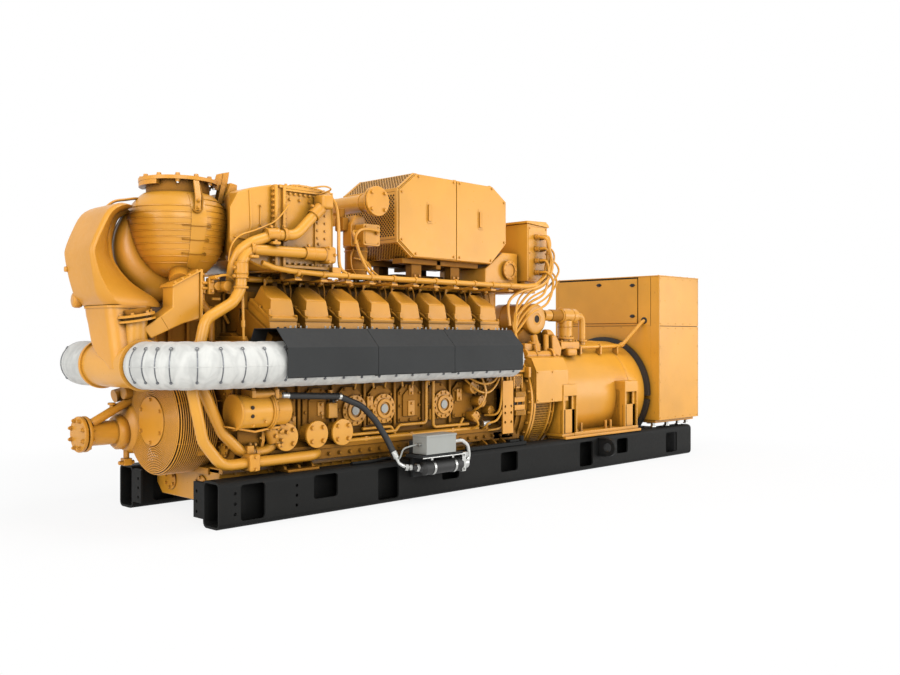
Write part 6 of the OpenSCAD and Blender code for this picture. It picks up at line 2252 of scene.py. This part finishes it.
@dataclass
class FlywheelEnd:
    """Flywheel housing behind the engine, its ribbed castings, hole plates and vents."""

    centre: float = 0.65

    def build(self) -> None:
        """Makes the housing and what is bolted to its sides."""
        shape = Shape(SHADE_ENAMEL, CASTING, SHADE_BROWN, ZINC)
        z = self.centre
        shape.turned([(0, 0), (0, 0.5), (0.03, 0.53), (0.12, 0.545), (0.25, 0.56), (0.29, 0.56),
            (0.29, 0.0)], (2.8, 0, z), (1, 0, 0), 64)
        for x in (2.86, 2.93, 3.0):
            shape.washer((x, 0, z), (1, 0, 0), 0.5, 0.572, 0.012, 64)
        shape.use(1).washer((3.085, 0, z), (1, 0, 0), 0.5, 0.602, 0.03, 72, 0.005)
        shape.washer((3.125, 0, z), (1, 0, 0), 0.5, 0.598, 0.03, 72, 0.005)
        shape.bolt_ring((3.085, 0, z), (-1, 0, 0), 0.578, 40, 0.026)
        for s in (-1, 1):
            # Plate with six holes and the angle that holds it.
            shape.use(1)
            self.hole_plate(shape, s)
            shape.use(0).block((2.8, s * 0.53, 0.5), (2.95, s * 0.43, 0.78), 0.006)
            # Ribbed casting beside the flywheel and the vent over it.
            for x in (2.9, 2.914, 2.928, 2.942, 2.956, 2.97, 2.984, 2.998, 3.012):
                shape.use(1).block((x, s * 0.59, 0.7), (x + 0.007, s * 0.52, 0.742), 0.001)
                shape.block((x, s * 0.59, 0.545), (x + 0.007, s * 0.52, 0.585), 0.001)
            shape.block((2.895, s * 0.575, 0.655), (3.03, s * 0.5, 0.7), 0.005)
            shape.block((2.895, s * 0.575, 0.585), (3.03, s * 0.5, 0.632), 0.005)
            # Painted shade: a dark strip in the gap between the two ribbed blocks, and a dark plate
            # behind the vent's holes.
            shape.use(2).block((2.9, s * 0.562, 0.632), (3.03, s * 0.5, 0.656), 0.001)
            shape.use(0).block((2.9, s * 0.545, 0.76), (3.04, s * 0.46, 0.9), 0.006)
            shape.use(2).prism(round_box(2.913, 3.03, 0.772, 0.888, 0.006), Axis.Y, s * 0.5455,
                s * 0.547, 0.0)
            shape.use(1).perforated((2.913, s * 0.549, 0.772), (0.117, 0, 0), (0, 0, 0.116), 0.014,
                0.002, 0.002)
            shape.block((2.79, s * 0.56, 0.905), (3.05, s * 0.48, 0.945), 0.005)
            shape.block((3.05, s * 0.6, 0.86), (3.082, s * 0.5, 0.95), 0.005)
        shape.use(0).block((2.7, -0.5, 0.335), (3.05, 0.5, 0.42), 0.01)
        shape.finished("flywheel_end", "engine_paint", ["flywheel_housing"], 45)

    def hole_plate(self, shape: Shape, side: int) -> None:
        """Flat plate with six plain holes.

        Args:
            shape: Piece that it is added to.
            side: -1 for the near side, 1 for the far side.
        """
        x0, x1, z0, z1, hole = 2.703, 2.833, 0.406, 0.842, 0.012
        part = bmesh.new()
        outer = [part.verts.new(p) for p in ((x0, 0, z0), (x1, 0, z0), (x1, 0, z1), (x0, 0, z1))]
        edges = [part.edges.new(pair) for pair in zip(outer, outer[1:] + outer[:1])]
        for x in (2.732, 2.808):
            for z in (0.5, 0.577, 0.631):
                ring = bmesh.ops.create_circle(part, segments=12, radius=hole,
                    matrix=Matrix.Translation((x, 0, z))
                    @ Matrix.Rotation(math.pi / 2, 4, "X"))["verts"]
                edges += list({e for v in ring for e in v.link_edges})
        bmesh.ops.triangle_fill(part, use_beauty=True, use_dissolve=False, edges=edges)
        inside = [f for f in part.faces
            if any((f.calc_center_median() - Vector((x, 0, z))).length < hole * 0.9
                for x in (2.732, 2.808) for z in (0.5, 0.577, 0.631))]
        bmesh.ops.delete(part, geom=inside, context="FACES_ONLY")
        grown = bmesh.ops.extrude_face_region(part, geom=part.faces[:])["geom"]
        bmesh.ops.translate(part, vec=(0, 0.012, 0), verts=[g for g in grown if isinstance(g,
            bmesh.types.BMVert)])
        bmesh.ops.translate(part, vec=(0, side * 0.606 - 0.006, 0), verts=part.verts[:])
        shape.keep(part)


@dataclass
class Generator:
    """Alternator: adapter with side covers and screens, the barrel on four feet, the seal."""

    centre: float = 0.65
    radius: float = 0.515

    def build(self) -> None:
        """Makes the alternator's pieces."""
        self.adapter()
        self.barrel()
        self.seal()

    def adapter(self) -> None:
        """Adapter drum with flat side covers, wire screens below them and lifting lugs."""
        shape = Shape(SHEET, CASTING, SHADE_BROWN)
        z = self.centre
        shape.turned([(0, 0), (0, 0.5), (0.02, 0.512), (0.4, 0.512), (0.42, 0.56), (0.44, 0.565),
            (0.45, 0.56), (0.45, 0)], (3.15, 0, z), (1, 0, 0), 72)
        shape.use(1).washer((3.45, 0, z), (1, 0, 0), 0.48, 0.548, 0.02, 72)
        shape.bolt_ring((3.45, 0, z), (-1, 0, 0), 0.53, 32, 0.022)
        for s in (-1, 1):
            side = [(s * 0.612, 0.638), (s * 0.612, 0.912), (s * 0.555, 1.022), (s * 0.3, 1.075),
                (s * 0.3, 0.638)]
            shape.use(0).prism(side, Axis.X, 3.142, 3.585, 0.006)
            lid = [(s * 0.616, 0.64), (s * 0.616, 0.913), (s * 0.559, 1.024), (s * 0.42, 1.054),
                (s * 0.42, 1.048), (s * 0.552, 1.018), (s * 0.608, 0.908), (s * 0.608, 0.64)]
            shape.prism(lid, Axis.X, 3.134, 3.37, 0.002)
            shape.use(1).bolts([(x, s * 0.616, zz) for x, zz in ((3.15, 0.66), (3.15, 0.9),
                (3.35, 0.66), (3.35, 0.9))], (0, s, 0), 0.014)
            self.screen(shape, s)
        shape.finished("adapter_set", "engine_paint", ["alternator_adapter"], 40)

    def screen(self, shape: Shape, side: int) -> None:
        """Wire screen over the fan outlet: bars round the drum and bars along it, in a bright rim.

        Args:
            shape: Piece that it is added to.
            side: -1 for the near side, 1 for the far side.
        """
        x0, x1, z, r = 3.175, 3.43, self.centre, 0.522
        low, high = math.radians(-62), math.radians(-2)

        def spot(x: float, angle: float, reach: float) -> tuple[float, float, float]:
            return x, side * reach * math.cos(angle), z + reach * math.sin(angle)

        # Painted shade: a dark sheet behind the wires, where the fan outlet lies in shade.
        shape.use(2).prism([(side * (r - 0.004) * math.cos(low + (high - low) * k / 12),
            z + (r - 0.004) * math.sin(low + (high - low) * k / 12)) for k in range(13)]
            + [(side * 0.46 * math.cos(high), z + 0.46 * math.sin(high)),
            (side * 0.46 * math.cos(low), z + 0.46 * math.sin(low))], Axis.X, x0, x1, 0.0)
        shape.use(0)
        for k in range(25):
            angle = low + (high - low) * k / 24
            shape.tube([spot(x0, angle, r + 0.006), spot(x1, angle, r + 0.006)], 0.0025, 5)
        for k in range(15):
            x = x0 + (x1 - x0) * k / 14
            shape.tube([spot(x, low + (high - low) * n / 14, r + 0.006) for n in range(15)], 0.0025,
                5)
        for x in (x0, x1):
            shape.tube([spot(x, low + (high - low) * n / 14, r + 0.008) for n in range(15)], 0.011,
                8)
        for angle in (low, high):
            shape.tube([spot(x0, angle, r + 0.008), spot(x1, angle, r + 0.008)], 0.011, 8)

    def barrel(self) -> None:
        """Welded barrel with its end rings, four feet, base angles and the conduit on top."""
        shape = Shape(SHEET, CASTING, SHADE_BROWN)
        z, r = self.centre, self.radius
        shape.turned([(0, 0), (0, r), (0.055, r + 0.002), (0.06, r - 0.004), (0.07, r), (1.08, r),
            (1.085, r - 0.004), (1.09, r + 0.003), (1.12, r + 0.006), (1.125, r), (1.345, r),
            (1.345, 0)], (3.6, 0, z), (1, 0, 0), 96)
        for x in (3.668, 4.705):
            shape.hoop((x, 0, z), (1, 0, 0), r - 0.003, 0.005, 96, 6)
        for s in (-1, 1):
            self.foot(shape, s, 3.502, 3.705)
            self.foot(shape, s, 4.456, 4.668)
            shape.use(0).prism([(s * 0.62, 0.322), (s * 0.62, 0.345), (s * 0.4, 0.345),
                (s * 0.4, 0.322)], Axis.X, 3.49, 4.68, 0.003)
            shape.use(1).block((3.5, s * 0.648, 0.3), (4.69, s * 0.44, 0.323), 0.004)
            shape.use(0).block((3.665, s * 0.624, 0.322), (4.672, s * 0.608, 0.352), 0.003)
            for x in (3.76, 3.84, 4.22, 4.3, 4.56, 3.57):
                shape.use(1).drum((x, s * 0.56, 0.34), (x, s * 0.56, 0.425), 0.013, 0.003, 12)
                shape.bolts([(x, s * 0.56, 0.345)], (0, 0, 1), 0.038)
        # Lifting eyes on the barrel and the cable conduit to the terminal box.
        shape.use(1)
        for s in (-1, 1):
            shape.prism([(3.72, 1.05), (3.84, 1.05), (3.81, 1.12), (3.75, 1.12)], Axis.Y, s * 0.34,
                s * 0.31, 0.004)
        shape.use(0).pipe([(3.98, -0.33, 1.108), (4.77, -0.345, 1.118), (4.8, -0.36, 1.135),
            (4.985, -0.46, 1.352), (5.01, -0.476, 1.372)], 0.019, 0.04, 14)
        for x in (4.1, 4.42, 4.7):
            shape.use(1).block((x - 0.012, -0.37, 1.04), (x + 0.012, -0.31, 1.112), 0.003)
            shape.hoop((x, -0.342, 1.115), (1, 0, 0), 0.021, 0.004, 18, 6)
        shape.drum((4.772, -0.345, 1.118), (4.8, -0.362, 1.138), 0.026, 0.003, 8)
        shape.finished("alternator_barrel", "engine_paint", ["alternator"], 40)

    def foot(self, shape: Shape, side: int, x0: float, x1: float) -> None:
        """Fabricated foot: two upright flanges and a web between them, under a boxed cap.

        Args:
            shape: Piece that it is added to.
            side: -1 for the near side, 1 for the far side.
            x0, x1: Ends of the foot along the alternator.
        """
        outer, inner = side * 0.62, side * 0.36
        shape.use(0).block((x0, outer, 0.345), (x0 + 0.014, inner, 0.78), 0.003)
        for each in (((x1 - 0.014, outer, 0.345), (x1, inner, 0.78), 0.003),
                ((x0 + 0.01, side * 0.6, 0.345), (x0 + 0.055, side * 0.585, 0.7), 0.002),
                ((x1 - 0.055, side * 0.6, 0.345), (x1 - 0.01, side * 0.585, 0.7), 0.002),
                ((x0, side * 0.6, 0.345), (x1, side * 0.585, 0.56), 0.002),
                ((x0, side * 0.622, 0.68), (x1, inner, 0.784), 0.006), ((x0, side * 0.56, 0.345),
                (x1, inner, 0.7), 0.0)):
            shape.block(*each)

    def seal(self) -> None:
        """Rubber seal between the barrel and the terminal box: a split band with a gap."""
        shape = Shape(RUBBER)
        inner, outer, x0, x1 = 0.517, 0.556, 4.945, 5.002
        start, end = math.radians(-3), math.radians(353)
        profile = [(x0, inner), (x0 + 0.006, outer), (x1 - 0.006, outer), (x1, inner)]
        part = bmesh.new()
        face = part.faces.new([part.verts.new((x, radius * math.cos(start),
            self.centre + radius * math.sin(start))) for x, radius in profile])
        bmesh.ops.spin(part, geom=[face], cent=(0, 0, self.centre), axis=(1, 0, 0),
            angle=end - start, steps=110, use_duplicate=False)
        bmesh.ops.transform(part, matrix=Matrix.Rotation(math.pi, 4, "Z"), verts=part.verts[:])
        bmesh.ops.translate(part, vec=(x0 + x1, 0, 0), verts=part.verts[:])
        shape.keep(part)
        shape.finished("seal_band", "rubber", ["seal_ring"], 40)


@dataclass
class TerminalBox:
    """Terminal box: folded panels with screws, a latched front panel and a cable hole."""

    front: float = 5.004
    rear: float = 5.755
    half: float = 0.651
    low: float = 0.377
    high: float = 1.812

    def build(self) -> None:
        """Makes the box and its front panel."""
        self.body()
        self.panel()

    def body(self) -> None:
        """Box in folded panels with narrow seams, a lid, screws round the edges and short legs."""
        shape = Shape(SHEET, SHADE_BROWN, ZINC, RUBBER, CASTING)
        gap, skin = 0.0025, 0.01
        # Painted shade: a dark block inside the panels shows through the seams.
        shape.use(1).block((self.front + 0.006, -self.half + 0.006, self.low + 0.004),
            (self.rear - 0.006, self.half - 0.006, self.high - 0.002), 0.0)
        seam = 1.316
        shape.use(0)
        for s in (-1, 1):
            for z0, z1 in ((self.low, seam - gap), (seam + gap, self.high)):
                shape.block((self.front + gap, s * self.half, z0),
                    (self.rear - gap, s * (self.half - skin), z1), 0.0025)
                inset = 0.022
                rows = [(x, z) for x in (self.front + inset, self.rear - inset)
                    for z in [z0 + inset + (z1 - z0 - 2 * inset) * k / max(2,
                    round((z1 - z0) / 0.2)) for k in range(max(2, round((z1 - z0) / 0.2)) + 1)]]
                rows += [(self.front + inset + (self.rear - self.front - 2 * inset) * k / 5, z)
                    for k in range(1, 5) for z in (z0 + inset, z1 - inset)]
                shape.bolts([(x, s * self.half, z) for x, z in rows], (0, s, 0), 0.009)
        for z0, z1 in ((self.low, seam - gap), (seam + gap, self.high)):
            shape.block((self.rear - skin, -self.half, z0), (self.rear, self.half, z1), 0.0025)
            shape.bolts([(self.rear, -self.half + 0.022 + (2 * self.half - 0.044) * k / 6, z)
                for k in range(7) for z in (z0 + 0.022, z1 - 0.022)], (1, 0, 0), 0.009)
        # Front skin: strips beside the latched panel and the part below it, round the barrel.
        x0, x1 = self.front, self.front + skin
        for each in (((x0, -self.half, self.low), (x1, -0.552 - gap, self.high), 0.0025),
                ((x0, -0.552 + gap, 1.318), (x1, -0.402 - gap, self.high), 0.0025),
                ((x0, -0.552 - gap, self.low), (x1, 0.6, 1.318), 0.0025),
                ((x0, 0.6 - gap, self.low), (x1, self.half, self.high), 0.0025),
                ((x0 - 0.001, -0.402, 1.322), (x1, 0.6, 1.345), 0.002)):
            shape.block(*each)
        shape.bolts([(x0, y, 1.308) for y in (-0.2, 0.02, 0.3, 0.52)] + [(x0, -0.6, z)
            for z in (0.45, 0.75, 1.05, 1.35, 1.65)], (-1, 0, 0), 0.009)
        shape.block((x0 - 0.004, -self.half - 0.003, self.high),
            (self.rear + 0.002, self.half + 0.003, self.high + 0.01), 0.003)
        shape.bolts([(x0 + 0.03 + 0.69 * k / 5, s * (self.half - 0.03), self.high + 0.01)
            for k in range(6) for s in (-1, 1)], (0, 0, 1), 0.01)
        shape.use(3).washer((x0 + 0.001, -0.476, 1.372), (-1, 0, 0), 0.02, 0.034, 0.008, 28)
        shape.drum((x0 + 0.001, -0.476, 1.372), (x0 - 0.003, -0.476, 1.372), 0.032, 0.001, 28)
        shape.use(2)
        for x in (5.05, 5.3, 5.52, 5.68):
            for s in (-1, 1):
                shape.drum((x, s * 0.55, 0.3), (x, s * 0.55, 0.38), 0.014, 0.003, 10)
                shape.bolts([(x, s * 0.55, 0.305)], (0, 0, 1), 0.05)
                shape.bolts([(x + 0.02, s * 0.5, 0.335)], (0, 0, 1), 0.05)
        shape.use(4).block((5.02, -0.6, 0.345), (5.74, 0.6, 0.379), 0.004)
        shape.finished("terminal_box_set", "engine_paint", ["terminal_box"], 40)

    def panel(self) -> None:
        """Front panel with its quarter-turn latches."""
        shape = Shape(SHEET, RUBBER)
        x = self.front
        shape.prism([(-0.398, 1.348), (0.598, 1.348), (0.598, 1.796), (-0.398, 1.796)], Axis.X,
            x - 0.012, x + 0.004, 0.003)
        for y, z in ((0.066, 1.747), (-0.346, 1.731), (-0.346, 1.418)):
            shape.use(1).prism([(y - 0.034, z), (y - 0.012, z - 0.016), (y + 0.012, z - 0.016),
                (y + 0.034, z), (y + 0.012, z + 0.016), (y - 0.012, z + 0.016)], Axis.X, x - 0.02,
                x - 0.011, 0.002)
            shape.drum((x - 0.012, y, z), (x - 0.026, y, z), 0.013, 0.002, 18)
        shape.finished("terminal_panel", "engine_paint", ["terminal_box_cover"], 40)


def seen_by_eye(tree: bpy.types.NodeTree) -> bpy.types.NodeSocket:
    """Value of 1 for rays from the camera, off gloss and through clear things, else 0.

    Args:
        tree: Node tree that the nodes go in.

    Returns:
        Socket with that value.
    """
    rays = add(tree, "ShaderNodeLightPath").outputs
    first = add(tree, "ShaderNodeMath", {0: rays["Is Camera Ray"], 1: rays["Is Glossy Ray"]},
        operation="MAXIMUM")
    return add(tree, "ShaderNodeMath", {0: first.outputs[0], 1: rays["Is Transmission Ray"]},
        operation="MAXIMUM").outputs[0]


def studio() -> None:
    """Camera, pale floor and soft light."""
    camera = bpy.data.objects.new("camera", bpy.data.cameras.new("camera"))
    camera.location = (-5.7555, -5.812, 1.2015)
    camera.rotation_euler = (math.radians(90.0), 0.0, math.radians(-45.43))
    camera.data.lens, camera.data.sensor_width = 38.08, 36.0
    camera.data.clip_end = 200.0
    bpy.context.scene.collection.objects.link(camera)
    bpy.context.scene.camera = camera
    world = bpy.data.worlds.new("studio")
    bpy.context.scene.world = world
    world.use_nodes = True
    tree = world.node_tree
    tree.nodes.clear()
    # Rays that see the room find it white; the rest of its light is a plain soft level.
    shown = seen_by_eye(tree)
    soft = add(tree, "ShaderNodeBackground", {"Color": srgb("#FFFFFF"), "Strength": 0.54})
    white = add(tree, "ShaderNodeBackground", {"Color": srgb("#FFFFFF"), "Strength": 1.0})
    both = add(tree, "ShaderNodeMixShader", {0: shown, 1: soft.outputs[0], 2: white.outputs[0]})
    add(tree, "ShaderNodeOutputWorld", {"Surface": both.outputs[0]})
    floor_mesh = bmesh.new()
    bmesh.ops.create_grid(floor_mesh, x_segments=1, y_segments=1, size=60.0)
    floor_data = bpy.data.meshes.new("floor")
    floor_mesh.to_mesh(floor_data)
    floor_mesh.free()
    floor = bpy.data.objects.new("floor", floor_data)
    pale, tree, place = blank_material("pale_floor")
    mottle = add(tree, "ShaderNodeTexNoise", {"Vector": place, "Scale": per_metre(900)})
    tone = add(tree, "ShaderNodeMix", {0: mottle.outputs["Fac"], 6: srgb("#F2F2F2"),
        7: srgb("#EDEDED")}, data_type="RGBA")
    skin = add(tree, "ShaderNodeBsdfPrincipled", {"Base Color": tone.outputs[2], "Roughness": 0.9,
        "Specular IOR Level": 0.1})
    # White to the eye: a faint shadow stays under the set, and 5 m away it meets the room.
    away = add(tree, "ShaderNodeVectorMath", {0: place}, operation="LENGTH")
    fade = add(tree, "ShaderNodeMapRange", {"Value": away.outputs["Value"], "From Min": 3.2,
        "From Max": 5.0, "To Min": 0.86, "To Max": 1.0})
    share = add(tree, "ShaderNodeMath", {0: fade.outputs[0], 1: seen_by_eye(tree)},
        operation="MULTIPLY")
    glow = add(tree, "ShaderNodeEmission", {"Color": srgb("#FFFFFF"), "Strength": 1.0})
    mixed = add(tree, "ShaderNodeMixShader", {0: share.outputs[0], 1: skin.outputs[0],
        2: glow.outputs[0]})
    add(tree, "ShaderNodeOutputMaterial", {"Surface": mixed.outputs[0]})
    floor_data.materials.append(pale)
    bpy.context.scene.collection.objects.link(floor)
    for name, spot, target, wide, tall, watts in (("near", (7.0, -8.2, 2.1), (0.3, 0.0, 1.1), 9.0,
            3.6, 320.0), ("key", (-6.2, -9.6, 4.6), (0.0, 0.0, 1.2), 6.0, 5.0, 500.0),
            ("top", (0.5, -3.0, 9.0), (0.0, 0.0, 1.0), 7.0, 4.0, 330.0),
            ("front", (-11.0, -1.0, 3.4), (-1.5, 0.0, 1.2), 5.0, 5.0, 280.0)):
        lamp = bpy.data.objects.new(name, bpy.data.lights.new(name, "AREA"))
        lamp.data.shape, lamp.data.energy = "RECTANGLE", watts
        lamp.data.size, lamp.data.size_y = wide, tall
        lamp.location = spot
        lamp.rotation_euler = (Vector(target) - Vector(spot)).to_track_quat("-Z", "Y").to_euler()
        bpy.context.scene.collection.objects.link(lamp)
    bpy.context.scene.view_settings.view_transform = "Standard"


def main() -> None:
    """Makes the set and reports each piece."""
    logging.basicConfig(level=logging.INFO, format="%(message)s")
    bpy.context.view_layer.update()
    studio()
    for assembly in (HeaterHose(), JacketHeater(), Skid(), EngineBlock(), DamperGuard(),
            WrappedManifolds(), HotEnd(), Heads(), IntakeManifold(), ChargeCooler(),
            CoolantCircuit(), AirCleaner(), GasTrain(), Controls(), Breather(), FlywheelEnd(),
            Generator(), TerminalBox()):
        LOG.info("making %s", type(assembly).__name__)
        assembly.build()


if __name__ == "__main__":
    main()
